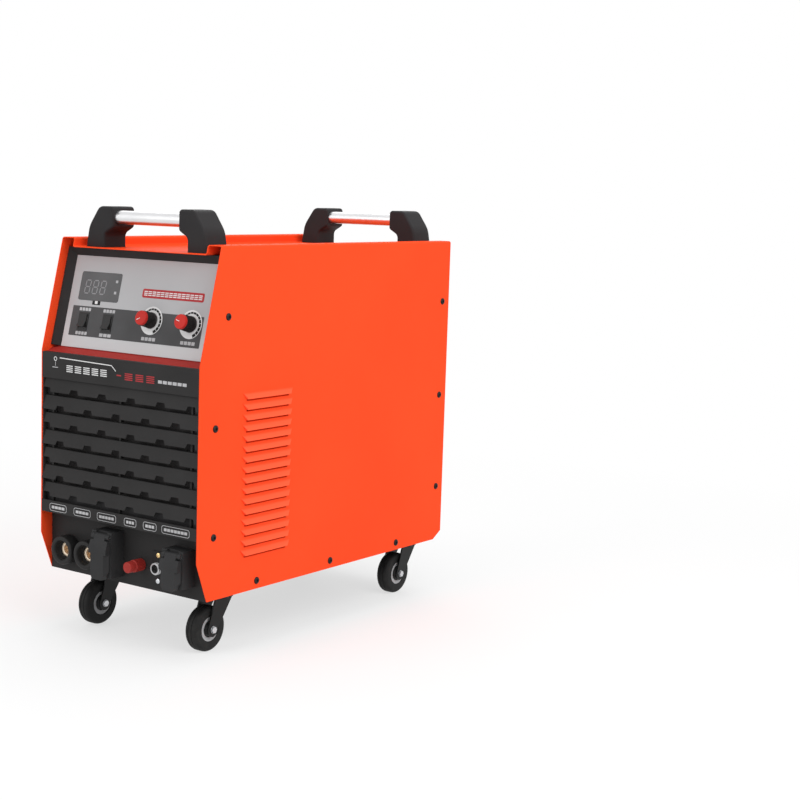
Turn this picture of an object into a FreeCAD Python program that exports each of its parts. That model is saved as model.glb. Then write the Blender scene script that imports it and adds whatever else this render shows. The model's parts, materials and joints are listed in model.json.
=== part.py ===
import FreeCAD, Part
import os
import Sketcher

# Wheeled plasma cutter unit with an upright sheet cabinet, a leaning control panel and a louvred front.
# X runs to the right seen from the front, Y runs from front to back, Z runs up, all in millimetres.
# The origin lies on the ground, in the middle of the whole unit.
# Each sub-part is drawn with Y counted from the knees of the side panels, then placed in that frame.

os.makedirs("parts", exist_ok=True)
document = FreeCAD.newDocument("PlasmaCutterUnit")

SIZES = {
    # cabinet
    "width": 350,
    "depth": 686,
    "top_height": 656,
    "floor_height": 100,
    "sheet": 1.5,
    "bend": 2.5,
    "rim_width": 29,
    "tray_drop": 14.5,
    "lean": 46,
    "knee_height": 471,
    "toe_height": 164,
    "toe_setback": 25,
    "heel_cut": 24,
    "heel_rise": 14,
    "pan_sheet": 2,
    "pan_flange": 28,
    "fold": 15,
    # pressed hoods in the side panels
    "hood_count": 16,
    "hood_pitch": 16.9,
    "hood_lowest": 160,
    "hood_front": 100,
    "hood_length": 118,
    "hood_rise": 12,
    "hood_reach": 4.5,
    "hood_taper": 11,
    "hood_lip": 1.5,
    # front frame behind the grille and the control panel
    "grille_depth": 10,
    "grille_top": 468,
    "grille_foot": 200,
    "air_window": 150,
    "frame_flange": 40,
    # louvre grille
    "header_drop": 43,
    "strip_rise": 20,
    "grille_wall": 2.5,
    "grille_play": 0.5,
    "slat_count": 7,
    "slat_pitch": 29.2,
    "slat_face": 20,
    "slat_lean": 4.5,
    "slat_wall": 2.2,
    "slat_lip": 1.5,
    "notch_width": 21,
    "notch_crest": 15,
    "notch_rise": 7,
    "notch_pitch": 64.3,
    "notch_shift": 32.2,
    "notch_first": 164,
    "end_setback": 1.5,
    "rib_width": 4,
    "rib_depth": 3,
    # control panel on the leaning front
    "recess": 25,
    "fascia_wall": 1.5,
    "fascia_half": 158,
    "fascia_low": 12,
    "ledge_drop": 0.5,
    "fascia_high": 166,
    "bezel_depth": 16,
    "bezel_lip": 1,
    "window_left": 139,
    "window_right": 47,
    "window_low": 91.5,
    "window_high": 139.5,
    "window_corner": 4,
    "board_depth": 41,
    "board_wall": 1.6,
    "control_window": 146,
    "control_low": 25,
    "control_high": 150,
    "board_margin": 9,
    "display_margin": 3,
    "lens_play": 0.2,
    "lens_rise": 0.3,
    "post_radius": 3,
    "control_line": 56,
    "knob_line": 68,
    "knob_left_place": 34,
    "knob_right_place": 118,
    "knob_radius": 13.2,
    "knob_length": 20.5,
    "knob_left_rest": 115,
    "knob_right_rest": 75,
    "knob_taper": 1,
    "knob_gap": 1,
    "knob_flutes": 18,
    "flute_radius": 1,
    "flute_foot": 3,
    "mark_half": 0.6,
    "mark_depth": 0.5,
    "mark_start": 2,
    "cap_radius": 11.7,
    "cap_height": 5,
    "shaft_radius": 3,
    "shaft_length": 12,
    "bush_radius": 4.5,
    "running_gap": 0.05,
    "rocker_left_place": 117,
    "rocker_right_place": 62,
    "rocker_width": 22,
    "rocker_height": 30,
    "rocker_wall": 1.2,
    "rocker_flange": 1.7,
    "rocker_floor": 2.4,
    "rocker_pivot": 3.5,
    "rocker_crest": 5,
    "rocker_play": 0.15,
    "rocker_end": 11.2,
    "rocker_under": 5,
    "rocker_foot": 9.3,
    "rocker_tilt": 11,
    "seat_gap": 0.3,
    # lower connection panel
    "panel_setback": 24,
    "panel_sheet": 2,
    "socket_line": 138,
    "work_socket_place": 129,
    "torch_socket_place": 76,
    "collar_radius": 24,
    "collar_reach": 22,
    "collar_bevel": 2.5,
    "insert_radius": 13,
    "insert_bore": 7.5,
    "insert_setback": 13.5,
    "insert_length": 34,
    "insert_end": 8,
    "key_width": 3,
    "key_depth": 2.5,
    "neck_radius": 17,
    "neck_length": 14,
    "outlet_left_place": -27,
    "outlet_right_place": 128.5,
    "outlet_width": 44,
    "outlet_sill": 3,
    "outlet_brow": 8,
    "outlet_reach": 29,
    "outlet_bore": 16,
    "outlet_bore_depth": 18,
    "outlet_bore_line": 142,
    "contact_radius": 2.4,
    "contact_ring": 8,
    "contact_depth": 5,
    "lid_width": 39,
    "lid_wall": 2,
    "lid_reach": 11,
    "lid_left_knee": 157,
    "lid_right_knee": 155,
    "lid_left_foot": 109,
    "lid_right_foot": 117.5,
    "lid_neck": 12,
    "lid_shoulder": 5.5,
    "lid_slope": 2,
    "lid_bevel": 5,
    "lid_bevel_deep": 8,
    "lid_bevel_drop": 6,
    "lid_sill": 7,
    "lid_corner": 14,
    "lid_narrowing": 9,
    "hinge_left_height": 179,
    "hinge_right_height": 172.5,
    "hinge_radius": 5,
    "pin_radius": 1.5,
    "post_place": 35,
    "post_line": 138,
    "post_stud": 3,
    "post_barrel": 10,
    "post_tip": 9,
    "post_reach": 34,
    "post_collar": 8,
    "post_bevel": 1.2,
    "post_waist": 8.4,
    "post_shoulder": 12,
    "post_nut": 7,
    "post_knurl": 20,
    "post_flutes": 20,
    "connector_place": 73,
    "connector_radius": 10,
    "connector_bore": 8.5,
    "connector_reach": 8,
    "connector_recess": 5.5,
    "flange_width": 26,
    "flange_height": 54,
    "flange_wall": 2,
    "flange_screw": 21,
    "flange_screw_head": 4.2,
    "prong_ring": 3.6,
    "prong_radius": 0.8,
    "prong_length": 3.5,
    # carrying handles
    "handle_front": 84,
    "handle_rear": 658,
    "handle_block": 52,
    "handle_foot": 133,
    "handle_shoulder": 104,
    "handle_inner": 91,
    "handle_collar": 72,
    "handle_height": 708.5,
    "handle_tube": 11,
    "tube_wall": 2,
    "handle_axis": 691,
    "handle_socket": 14,
    "handle_round": 14,
    "handle_belly": 127,
    "handle_bulge": 676,
    "handle_swell": 40,
    "handle_lead": 10,
    "handle_under": 5,
    "handle_knee": 664,
    "handle_inner_round": 6,
    "handle_hollow": 10,
    "handle_edge": 4,
    "bolt_radius": 3,
    "bolt_head": 5.5,
    "bolt_cap": 3.5,
    "bolt_length": 14,
    "bolt_spread": 11,
    "bolt_back": 6,
    # button-head screws in the side panels
    "screw_radius": 2.4,
    "screw_head": 4.8,
    "screw_rise": 2.8,
    "screw_length": 8,
    "screw_round": 1.2,
    "screw_front": 38,
    "screw_brow": 64,
    "screw_rear": 665,
    "screw_low": 201,
    "screw_middle": 373,
    "screw_high": 546,
    "screw_foot": 113.5,
    "screw_spacing": 197,
    # back of the unit
    "rear_recess": 3,
    "fan_line": 470,
    "fan_side": 120,
    "fan_deep": 38,
    "fan_bore": 57,
    "fan_hub": 21,
    "fan_tip": 54,
    "fan_blades": 7,
    "fan_shaft": 2.5,
    "fan_strut": 4,
    "fan_clear": 2,
    "fan_pitch": 0.9,
    "fan_blade": 2.5,
    "guard_reach": 8,
    "guard_wire": 2,
    "guard_pitch": 12,
    "guard_foot": 8,
    "breaker_place": -100,
    "breaker_line": 300,
    "breaker_half": 27,
    "breaker_height": 44,
    "breaker_deep": 60,
    "breaker_nose": 7,
    "breaker_slot": 23,
    "toggle_slot": 17,
    "toggle_depth": 8,
    "toggle_pin": 2,
    "toggle_half": 8,
    "toggle_radius": 7,
    "toggle_reach": 22,
    "toggle_tilt": 25,
    "gland_place": -100,
    "gland_line": 190,
    "gland_radius": 14,
    "gland_bore": 6.5,
    "gland_neck": 10,
    "gland_thread": 12,
    "gland_collar": 6,
    "gland_length": 22,
    "inlet_place": 100,
    "inlet_line": 190,
    "inlet_radius": 9,
    "inlet_bore": 2,
    "inlet_neck": 6,
    "inlet_barb": 5.5,
    "barb_pitch": 3.5,
    # casters
    "wheel_radius": 37.5,
    "wheel_width": 24,
    "tyre_round": 6,
    "hub_half": 14,
    "hub_radius": 9,
    "rim_outer": 21,
    "rim_drop": 3,
    "axle_radius": 4,
    "axle_head": 6,
    "axle_head_wall": 4,
    "caster_trail": 28,
    "caster_side": 122,
    "caster_front": 110,
    "caster_rear": 638,
    "caster_plate": 62,
    "caster_plate_deep": 46,
    "caster_plate_wall": 2.5,
    "race_radius": 20,
    "race_height": 5.5,
    "king_radius": 5,
    "king_head": 9,
    "king_cap": 3,
    "fork_wall": 3,
    "fork_inner": 14.6,
    "fork_top": 91.7,
    "fork_boss": 20,
    "fork_shoulder": 3.7,
    "fork_crown": 3.5,
    "fork_front": 22,
    "fork_back": 20,
    "fork_eye": 12,
    "caster_bolt_spread": 23,
    "caster_bolt_deep": 15,
    # inner pieces
    "partition_wall": 2,
    "partition_front": 110,
    "partition_length": 500,
    "partition_height": 520,
    "sink_fins": 9,
    "sink_base": 8,
    "sink_fin": 3,
    "sink_reach": 60,
    "sink_length": 300,
    "sink_foot": 330,
    "sink_front": 200,
    "sink_height": 120,
    "power_wall": 2,
    "power_height": 190,
    "power_gap": 10,
    "can_radius": 17,
    "can_height": 50,
    "can_first": 50,
    "can_pitch": 60,
    "core_width": 110,
    "core_depth": 90,
    "core_height": 120,
    "core_window": 30,
    "core_place": 88,
    "core_front": 330,
    "coil_wall": 14,
    "choke_radius": 38,
    "choke_core": 16,
    "choke_height": 60,
    "choke_front": 520,
    "pump_radius": 45,
    "pump_length": 170,
    "pump_axis": 165,
    "pump_place": -88,
    "pump_front": 250,
}

PLACES = {
    "half": "size.width / 2",
    "inner": "half - size.sheet",
    "rim_inner": "half - size.rim_width",
    "tray": "size.top_height - size.tray_drop",
    "tray_under": "tray - size.sheet",
    "run": "size.top_height - size.knee_height",
    "slope": "sqrt(size.lean * size.lean + run * run)",
    "lean_sine": "size.lean / slope",
    "lean_cosine": "run / slope",
    "lean_tangent": "size.lean / run",
    "incline": "atan2(run; size.lean) / 1deg",
    "lid_front": "size.panel_setback - size.outlet_reach - size.lid_reach",
    "rear_tip": "rear_face + size.gland_length",
    "middle": "(rear_tip + lid_front) / 2",
    "rear_face": "size.depth - size.rear_recess",
    "rear_inner": "rear_face - size.sheet",
    "guard_face": "rear_face + size.guard_reach",
    "fan_front": "rear_inner - size.fan_deep",
    "fan_run": "size.fan_deep - size.fan_strut - 2 * size.fan_clear",
    "nose_face": "rear_face + size.breaker_nose",
    "toggle_y": "nose_face - size.toggle_depth",
    "crown_top": "fork_floor + size.fork_crown",
    "fascia_face": "-size.recess",
    "fascia_back": "fascia_face - size.fascia_wall",
    "frame_back": "fascia_back - size.sheet",
    "incline_top": "(tray_under - size.knee_height - fascia_back * lean_sine) / lean_cosine",
    "incline_top_y": "incline_top * lean_sine - fascia_back * lean_cosine",
    "ledge_start": "size.fascia_low - size.ledge_drop",
    "ledge_y": "ledge_start * lean_sine - fascia_back * lean_cosine",
    "ledge_z": "size.knee_height + ledge_start * lean_cosine + fascia_back * lean_sine",
    "frame_y": "size.grille_depth",
    "frame_inner": "frame_y + size.sheet",
    "shelf_back": "size.panel_setback + size.panel_sheet",
    "pan_top": "size.floor_height + size.pan_sheet",
    "flange_top": "size.floor_height + size.pan_flange",
    "heel_z": "size.floor_height + size.heel_rise / size.heel_cut * (rear_inner - size.depth + size.heel_cut)",
    "board_face": "-size.board_depth",
    "board_front": "size.board_wall - size.board_depth",
    "board_half": "size.control_window + size.board_margin",
    "board_low": "size.control_low - size.board_margin",
    "board_high": "size.control_high + size.board_margin",
    "post_across": "size.control_window + size.board_margin / 2",
    "control_base": "size.knee_height + fascia_back * lean_sine",
    "control_low": "control_base + size.control_low * lean_cosine",
    "control_high": "control_base + size.control_high * lean_cosine",
    "bezel_high": "(tray_under - size.knee_height + size.bezel_depth * lean_sine) / lean_cosine",
    "slot_half": "size.rocker_width / 2 - size.rocker_flange",
    "slot_rise": "size.rocker_height / 2 - size.rocker_flange",
    "well_half": "slot_half - size.rocker_wall",
    "well_rise": "slot_rise - size.rocker_wall",
    "rocker_top": "fascia_face + size.rocker_wall",
    "rocker_axis": "rocker_top - size.rocker_pivot",
    "rocker_half": "well_half - size.rocker_play",
    "bolt_across": "(size.handle_inner + size.handle_foot) / 2",
    "hood_high": "size.hood_front + size.hood_length",
    "slat_top": "size.grille_top - size.header_drop",
    "grille_side": "inner - size.grille_play",
    "strip_top": "size.grille_foot + size.strip_rise",
    "slat_low": "slat_high - size.slat_face",
    "slat_high": "slat_top - size.seat_gap - (size.slat_count - 1) * size.slat_pitch",
    "rib_across": "size.air_window + size.rib_width",
    "notch_start": "-size.notch_first",
    "odd_rows": "floor((size.slat_count + 1) / 2)",
    "even_rows": "floor(size.slat_count / 2)",
    "outlet_face": "size.panel_setback - size.outlet_reach",
    "hinge_y": "outlet_face",
    "tube_front": "size.handle_front - size.handle_lead",
    "tube_under": "size.handle_axis - size.handle_tube - size.handle_under",
    "lid_half": "size.lid_width / 2",
    "outlet_half": "size.outlet_width / 2",
    "post_back": "size.panel_setback - size.post_reach",
    "axle_z": "size.wheel_radius",
    "plate_under": "size.floor_height - size.caster_plate_wall",
    "race_under": "plate_under - size.race_height",
    "king_under": "fork_floor - size.seat_gap - size.king_cap",
    "fork_floor": "size.fork_top - size.fork_shoulder - size.fork_crown",
    "fork_outer": "size.fork_inner + size.fork_wall",
}

PAST = 5
ODD_NOTCHES = 6
EVEN_NOTCHES = 5
GUARD_RINGS = 4
BARBS = 3
CAPACITORS = 4
PRONGS = 4


def fill_sheet(label, rows, sign):
    sheet = document.addObject("Spreadsheet::Sheet", label)
    for line, (name, content) in enumerate(rows.items(), start=1):
        sheet.set(f"A{line}", name)
        sheet.set(f"B{line}", f"{sign}{content}")
        sheet.setAlias(f"B{line}", name)
    document.recompute()
    return sheet


sizes = fill_sheet("size", SIZES, "")
places = fill_sheet("place", PLACES, "=")


def number(formula):
    return float(places.evalExpression(str(formula)))


def minus(formula):
    return f"-({formula})"


def new_body(label):
    body = document.addObject("PartDesign::Body", label)
    body.Label = label
    body.setExpression("Placement.Base.y", "-place.middle")
    return body


def datum(body, role):
    return next(item for item in body.Origin.OriginFeatures if item.Role == role)


def sketch_on(body, role, away):
    sketch = body.newObject("Sketcher::SketchObject", "Outline")
    sketch.AttachmentSupport = [(datum(body, role), "")]
    sketch.MapMode = "FlatFace"
    sketch.setExpression("AttachmentOffset.Base.z", str(away))
    return sketch


# Three ways to look at a body: from the front, from the right and from above
def front_view(body, y="0"):
    return sketch_on(body, "XZ_Plane", minus(y))


def side_view(body, x="0"):
    return sketch_on(body, "YZ_Plane", x)


def plan_view(body, z="0"):
    return sketch_on(body, "XY_Plane", z)


def tie(sketch, kind, *rest):
    *ends, formula = rest
    spot = sketch.addConstraint(Sketcher.Constraint(kind, *ends, number(formula)))
    sketch.setExpression(f"Constraints[{spot}]", str(formula))


# Closed outline of straight lines through corners that follow the sheets
def corners(sketch, points):
    first = sketch.GeometryCount
    spots = [FreeCAD.Vector(number(across), number(up), 0) for across, up in points]
    for here, there in zip(spots, spots[1:] + spots[:1]):
        sketch.addGeometry(Part.LineSegment(here, there), False)
    for step, (across, up) in enumerate(points):
        line = first + step
        following = first + (step + 1) % len(points)
        sketch.addConstraint(Sketcher.Constraint("Coincident", line, 2, following, 1))
        tie(sketch, "DistanceX", -1, 1, line, 1, across)
        tie(sketch, "DistanceY", -1, 1, line, 1, up)
    return sketch


def slab(sketch, left, low, right, high):
    return corners(sketch, [(left, low), (right, low), (right, high), (left, high)])


def ring(sketch, across, up, radius):
    centre = FreeCAD.Vector(number(across), number(up), 0)
    circle = Part.Circle(centre, FreeCAD.Vector(0, 0, 1), number(radius))
    place = sketch.addGeometry(circle, False)
    tie(sketch, "DistanceX", -1, 1, place, 3, across)
    tie(sketch, "DistanceY", -1, 1, place, 3, up)
    tie(sketch, "Radius", place, radius)
    return sketch


def grow(body, kind, sketch, length, both, back):
    feature = body.newObject(kind, "Step")
    feature.Profile = sketch
    feature.setExpression("Length", str(length))
    feature.SideType = "Symmetric" if both else "One side"
    feature.Reversed = back
    return feature


def pad(body, sketch, length, both=False, back=False):
    return grow(body, "PartDesign::Pad", sketch, length, both, back)


def cut(body, sketch, length, both=False, back=False):
    return grow(body, "PartDesign::Pocket", sketch, length, both, back)


# Turns a half outline about the upright axis of its sketch
def turn(body, sketch, kind="PartDesign::Revolution"):
    feature = body.newObject(kind, "Turned")
    feature.Profile = sketch
    feature.ReferenceAxis = (sketch, ["V_Axis"])
    return feature


def loft(body, kind, first, last):
    feature = body.newObject(kind, "Loft")
    feature.Profile = first
    feature.Sections = [last]
    feature.Ruled = True
    return feature


def mirror(body, features, role="YZ_Plane"):
    twin = body.newObject("PartDesign::Mirrored", "Mirrored")
    twin.Originals = features
    twin.MirrorPlane = (datum(body, role), [""])
    body.Tip = twin
    return twin


def row(body, features, axis, step, count):
    copies = body.newObject("PartDesign::LinearPattern", "Row")
    copies.Originals = features
    copies.Direction = (datum(body, axis), [""])
    copies.Mode = "Spacing"
    copies.setExpression("Offset", str(step))
    copies.setExpression("Occurrences", str(count))
    body.Tip = copies
    return copies


def around(body, features, axis, count):
    copies = body.newObject("PartDesign::PolarPattern", "Ring")
    copies.Originals = features
    copies.Axis = (datum(body, axis), [""])
    copies.Angle = 360
    copies.setExpression("Occurrences", str(count))
    body.Tip = copies
    return copies


# Repeats the whole body on the other side of the middle plane, and a step further back where one is given
def spread(body, step=None):
    twin = body.newObject("PartDesign::Mirrored", "Twin")
    twin.MirrorPlane = (datum(body, "YZ_Plane"), [""])
    steps = [twin]
    if step:
        rear = body.newObject("PartDesign::LinearPattern", "Rear")
        rear.Direction = (datum(body, "Y_Axis"), [""])
        rear.Mode = "Spacing"
        rear.setExpression("Offset", step)
        rear.Occurrences = 2
        steps.append(rear)
    copies = body.newObject("PartDesign::MultiTransform", "Spread")
    copies.TransformMode = "Whole shape"
    copies.Transformations = steps
    body.Tip = copies


# Rounds or bevels the edges of the shape so far whose middle point passes a test
def soften(body, radius, test, kind="PartDesign::Fillet"):
    document.recompute()
    base = body.Tip
    names = []
    for spot, edge in enumerate(base.Shape.Edges, start=1):
        middle = edge.valueAt((edge.FirstParameter + edge.LastParameter) / 2)
        if test(edge, middle):
            names.append(f"Edge{spot}")
    feature = body.newObject(kind, "Softened")
    feature.Base = (base, names)
    feature.setExpression("Radius" if kind.endswith("Fillet") else "Size", str(radius))
    body.Tip = feature
    return feature


def runs_along(edge, axis):
    if edge.Curve.TypeId != "Part::GeomLine":
        return False
    return abs(edge.Curve.Direction.dot(axis)) > 0.999


ACROSS = FreeCAD.Vector(1, 0, 0)
DEEP = FreeCAD.Vector(0, 1, 0)
UP = FreeCAD.Vector(0, 0, 1)


def is_at(value, formula):
    return abs(value - number(formula)) < 0.01


# Picks straight edges along one axis whose other two coordinates match one of the spots
def line_at(axis, spots):
    def test(edge, middle):
        if not runs_along(edge, axis):
            return False
        flat = [value for value, part in zip(middle, axis) if not part]
        return any(is_at(flat[0], first) and is_at(flat[1], second) for first, second in spots)
    return test


def on_circle(axis, radius, level):
    def test(edge, middle):
        if edge.Curve.TypeId != "Part::GeomCircle" or not is_at(edge.Curve.Radius, radius):
            return False
        return is_at(middle.dot(axis), level)
    return test


def both_sides(spots):
    return spots + [(minus(across), up) for across, up in spots]


def screw_spots():
    front = [("size.screw_front", "size.screw_low"), ("size.screw_front", "size.screw_middle"),
             ("size.screw_brow", "size.screw_high")]
    rear = [("size.screw_rear", up) for up in ("size.screw_low", "size.screw_middle", "size.screw_high")]
    foot = [(f"size.depth / 2 + {step} * size.screw_spacing", "size.screw_foot") for step in (-1, 0, 1)]
    return front + rear + foot


# Holes for the side screws, drilled across the whole body
def screw_holes(body):
    drills = side_view(body)
    for along, up in screw_spots():
        ring(drills, along, up, "size.screw_radius")
    cut(body, drills, "size.width", both=True)


def caster_spots():
    return [(f"{side} * size.caster_side", end)
            for side in (-1, 1) for end in ("size.caster_front", "size.caster_rear")]


def handle_bolts():
    return [(f"{side} * (place.bolt_across + {step} * size.bolt_spread)", f"{end} + size.bolt_back")
            for side in (-1, 1) for end in ("size.handle_front", "size.handle_rear") for step in (-1, 1)]


def caster_bolts():
    return [(f"{across} + {side} * size.caster_bolt_spread", f"{deep} + {end} * size.caster_bolt_deep")
            for across, deep in caster_spots() for side in (-1, 1) for end in (-1, 1)]


# Folded cover: both side walls, raised rims and the sunken tray, cut to the leaning side outline
cover = new_body("outer_cover")
right_half = [
    ("place.half", "size.floor_height"),
    ("place.half", "size.top_height"),
    ("place.rim_inner", "size.top_height"),
    ("place.rim_inner", "place.tray"),
]
under_half = [
    ("place.rim_inner + size.sheet", "place.tray_under"),
    ("place.rim_inner + size.sheet", "size.top_height - size.sheet"),
    ("place.inner", "size.top_height - size.sheet"),
    ("place.inner", "size.floor_height"),
]
mirrored = [(minus(across), up) for across, up in reversed(right_half)]
mirrored_under = [(minus(across), up) for across, up in reversed(under_half)]
section = corners(front_view(cover), right_half + mirrored + mirrored_under + under_half)
pad(cover, section, "size.depth", back=True)
tight = [("place.inner", "size.top_height - size.sheet"),
         ("place.rim_inner + size.sheet", "size.top_height - size.sheet"),
         ("place.rim_inner", "place.tray")]
loose = [("place.half", "size.top_height"), ("place.rim_inner", "size.top_height"),
         ("place.rim_inner + size.sheet", "place.tray_under")]
soften(cover, "size.bend", line_at(DEEP, both_sides(tight)))
soften(cover, "size.bend + size.sheet", line_at(DEEP, both_sides(loose)))
brow = corners(side_view(cover), [
    (f"-{PAST}", "size.knee_height"),
    ("0", "size.knee_height"),
    ("size.lean", "size.top_height"),
    ("size.lean", f"size.top_height + {PAST}"),
    (f"-{PAST}", f"size.top_height + {PAST}"),
])
cut(cover, brow, f"size.width + {PAST}", both=True)
toe = corners(side_view(cover), [
    (f"-{PAST}", "size.toe_height"),
    ("0", "size.toe_height"),
    ("size.toe_setback", "size.floor_height"),
    ("size.toe_setback", f"size.floor_height - {PAST}"),
    (f"-{PAST}", f"size.floor_height - {PAST}"),
])
cut(cover, toe, f"size.width + {PAST}", both=True)
heel = corners(side_view(cover), [
    ("size.depth", "size.floor_height + size.heel_rise"),
    ("size.depth - size.heel_cut", "size.floor_height"),
    ("size.depth - size.heel_cut", f"size.floor_height - {PAST}"),
    (f"size.depth + {PAST}", f"size.floor_height - {PAST}"),
    (f"size.depth + {PAST}", "size.floor_height + size.heel_rise"),
])
cut(cover, heel, f"size.width + {PAST}", both=True)


# One pressed hood is a tapering bulge with a slit along its lower edge
def hood_wires(root, crown, inset):
    low = "size.hood_lowest"
    front = f"size.hood_front + {inset}"
    rear = f"place.hood_high - {inset}"
    narrow_front = f"size.hood_front + size.hood_taper + {inset}"
    narrow_rear = f"place.hood_high - size.hood_taper - {inset}"
    high = f"size.hood_lowest + size.hood_rise - {inset}"
    lip = "size.hood_lowest + size.hood_lip"
    foot = corners(side_view(cover, root),
                   [(front, high), (narrow_front, low), (narrow_rear, low), (rear, high)])
    crest = slab(side_view(cover, crown), narrow_front, low, narrow_rear, lip)
    return foot, crest


def hood_column(side):
    crown = f"{side} * (place.half + size.hood_reach)"
    hollow = f"{side} * (place.inner + size.hood_reach)"
    middle = f"{side} * (place.half - size.sheet / 2)"
    inside = f"{side} * (place.inner - {PAST})"
    bulge = loft(cover, "PartDesign::AdditiveLoft", *hood_wires(middle, crown, "0"))
    slit = loft(cover, "PartDesign::SubtractiveLoft", *hood_wires(inside, hollow, "size.sheet"))
    mouth = slab(side_view(cover, inside), "size.hood_front + size.hood_taper + size.sheet",
                 "size.hood_lowest - size.hood_lip", "place.hood_high - size.hood_taper - size.sheet",
                 "size.hood_lowest + size.hood_lip")
    opening = cut(cover, mouth, f"{PAST} + size.hood_reach", back=side > 0)
    row(cover, [bulge, slit, opening], "Z_Axis", "size.hood_pitch", "size.hood_count")


hood_column(1)
hood_column(-1)
bolt_holes = plan_view(cover, "place.tray")
for across, deep in handle_bolts():
    ring(bolt_holes, across, deep, "size.bolt_radius")
cut(cover, bolt_holes, "size.sheet")
screw_holes(cover)


# Folded pan under everything: front flange, floor, rising heel and rear flange, then both side flanges
pan = new_body("base_pan")
path = corners(side_view(pan), [
    ("place.shelf_back", "size.floor_height + size.fold"),
    ("place.shelf_back", "size.floor_height"),
    ("size.depth - size.heel_cut", "size.floor_height"),
    ("place.rear_inner", "place.heel_z"),
    ("place.rear_inner", "place.flange_top"),
    ("place.rear_inner - size.pan_sheet", "place.flange_top"),
    ("place.rear_inner - size.pan_sheet", "place.heel_z + size.pan_sheet / 2"),
    ("size.depth - size.heel_cut - size.pan_sheet / 2", "place.pan_top"),
    ("place.shelf_back + size.pan_sheet", "place.pan_top"),
    ("place.shelf_back + size.pan_sheet", "size.floor_height + size.fold"),
])
pad(pan, path, "2 * place.inner", both=True)
wing = slab(side_view(pan, "place.inner - size.pan_sheet"), "place.shelf_back", "size.floor_height",
            "size.depth - size.heel_cut", "place.flange_top")
flange = pad(pan, wing, "size.pan_sheet")
mirror(pan, [flange])
foot_holes = plan_view(pan, "place.pan_top")
for across, deep in caster_bolts():
    ring(foot_holes, across, deep, "size.bolt_radius")
cut(pan, foot_holes, "size.pan_sheet")
screw_holes(pan)


# Folded front frame: tray flange, leaning sheet, ledge, front sheet, shelf and lower flange
frame = new_body("front_frame")
steep = "size.sheet / place.lean_cosine - size.sheet * place.lean_tangent"
front_path = [
    ("place.incline_top_y + size.fold", "place.tray_under"),
    ("place.incline_top_y", "place.tray_under"),
    ("place.ledge_y", "place.ledge_z"),
    ("place.frame_y", "size.grille_top"),
    ("place.frame_y", "size.grille_foot"),
    ("place.shelf_back", "size.grille_foot"),
    ("place.shelf_back", "size.grille_foot - size.fold"),
]
back_path = [
    ("place.shelf_back + size.sheet", "size.grille_foot - size.fold"),
    ("place.shelf_back + size.sheet", "size.grille_foot + size.sheet"),
    ("place.frame_inner", "size.grille_foot + size.sheet"),
    ("place.frame_inner", "size.grille_top - size.sheet"),
    (f"place.ledge_y + {steep}", "place.ledge_z - size.sheet"),
    (f"place.incline_top_y + {steep}", "place.tray_under - size.sheet"),
    ("place.incline_top_y + size.fold", "place.tray_under - size.sheet"),
]
pad(frame, corners(side_view(frame), front_path + back_path), "2 * place.inner", both=True)
stay = corners(side_view(frame, "place.inner - size.sheet"), [
    ("place.shelf_back", "size.grille_foot - size.fold"),
    ("place.shelf_back + size.frame_flange", "size.grille_foot - size.fold"),
    ("place.shelf_back + size.frame_flange", "size.knee_height"),
    ("place.incline_top_y + size.fold", "place.tray_under - size.frame_flange"),
    ("place.incline_top_y + size.fold", "place.tray_under"),
    ("place.incline_top_y", "place.tray_under"),
    ("place.ledge_y", "place.ledge_z"),
    ("place.frame_y", "size.grille_top"),
    ("place.frame_y", "size.grille_foot"),
    ("place.shelf_back", "size.grille_foot"),
])
stays = pad(frame, stay, "size.sheet")
mirror(frame, [stays])
window = slab(front_view(frame), "-size.air_window", "size.grille_foot + size.strip_rise + size.fold",
              "size.air_window", "place.slat_top - size.fold")
cut(frame, window, "place.shelf_back")
control_window = slab(front_view(frame), "-size.control_window", "place.control_low",
                      "size.control_window", "place.control_high")
cut(frame, control_window, "place.incline_top_y + size.fold")
screw_holes(frame)


# Turns a body about an axis across the unit by an angle in degrees
def lean(body, angle):
    body.Placement.Rotation = FreeCAD.Rotation(ACROSS, number(angle))
    body.setExpression("Placement.Rotation.Angle", angle)


# A piece drawn in the frame of the leaning front, with its height measured square to that front
def on_incline(body):
    lean(body, "place.incline")
    body.setExpression("Placement.Base.z", "size.knee_height")


# Black border that slopes down to the panel on its left, top and right
bezel = new_body("control_bezel")
on_incline(bezel)
border = slab(plan_view(bezel, "place.fascia_back"), "-place.grille_side", "size.fascia_low",
              "place.grille_side", "place.bezel_high")
pad(bezel, border, "-size.bezel_depth - place.fascia_back")
wide = slab(plan_view(bezel, "-size.bezel_depth"), "-(place.grille_side - size.bezel_lip)",
            "size.fascia_low - size.fascia_half", "place.grille_side - size.bezel_lip",
            "place.bezel_high - size.bezel_lip")
narrow = slab(plan_view(bezel, "place.fascia_face"), "-size.fascia_half", "size.fascia_low - size.fascia_half",
              "size.fascia_half", "size.fascia_high")
loft(bezel, "PartDesign::SubtractiveLoft", wide, narrow)
seat = slab(plan_view(bezel, "place.fascia_face"), "-size.fascia_half", "size.fascia_low - size.fascia_half",
            "size.fascia_half", "size.fascia_high")
cut(bezel, seat, "size.fascia_wall")


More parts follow.
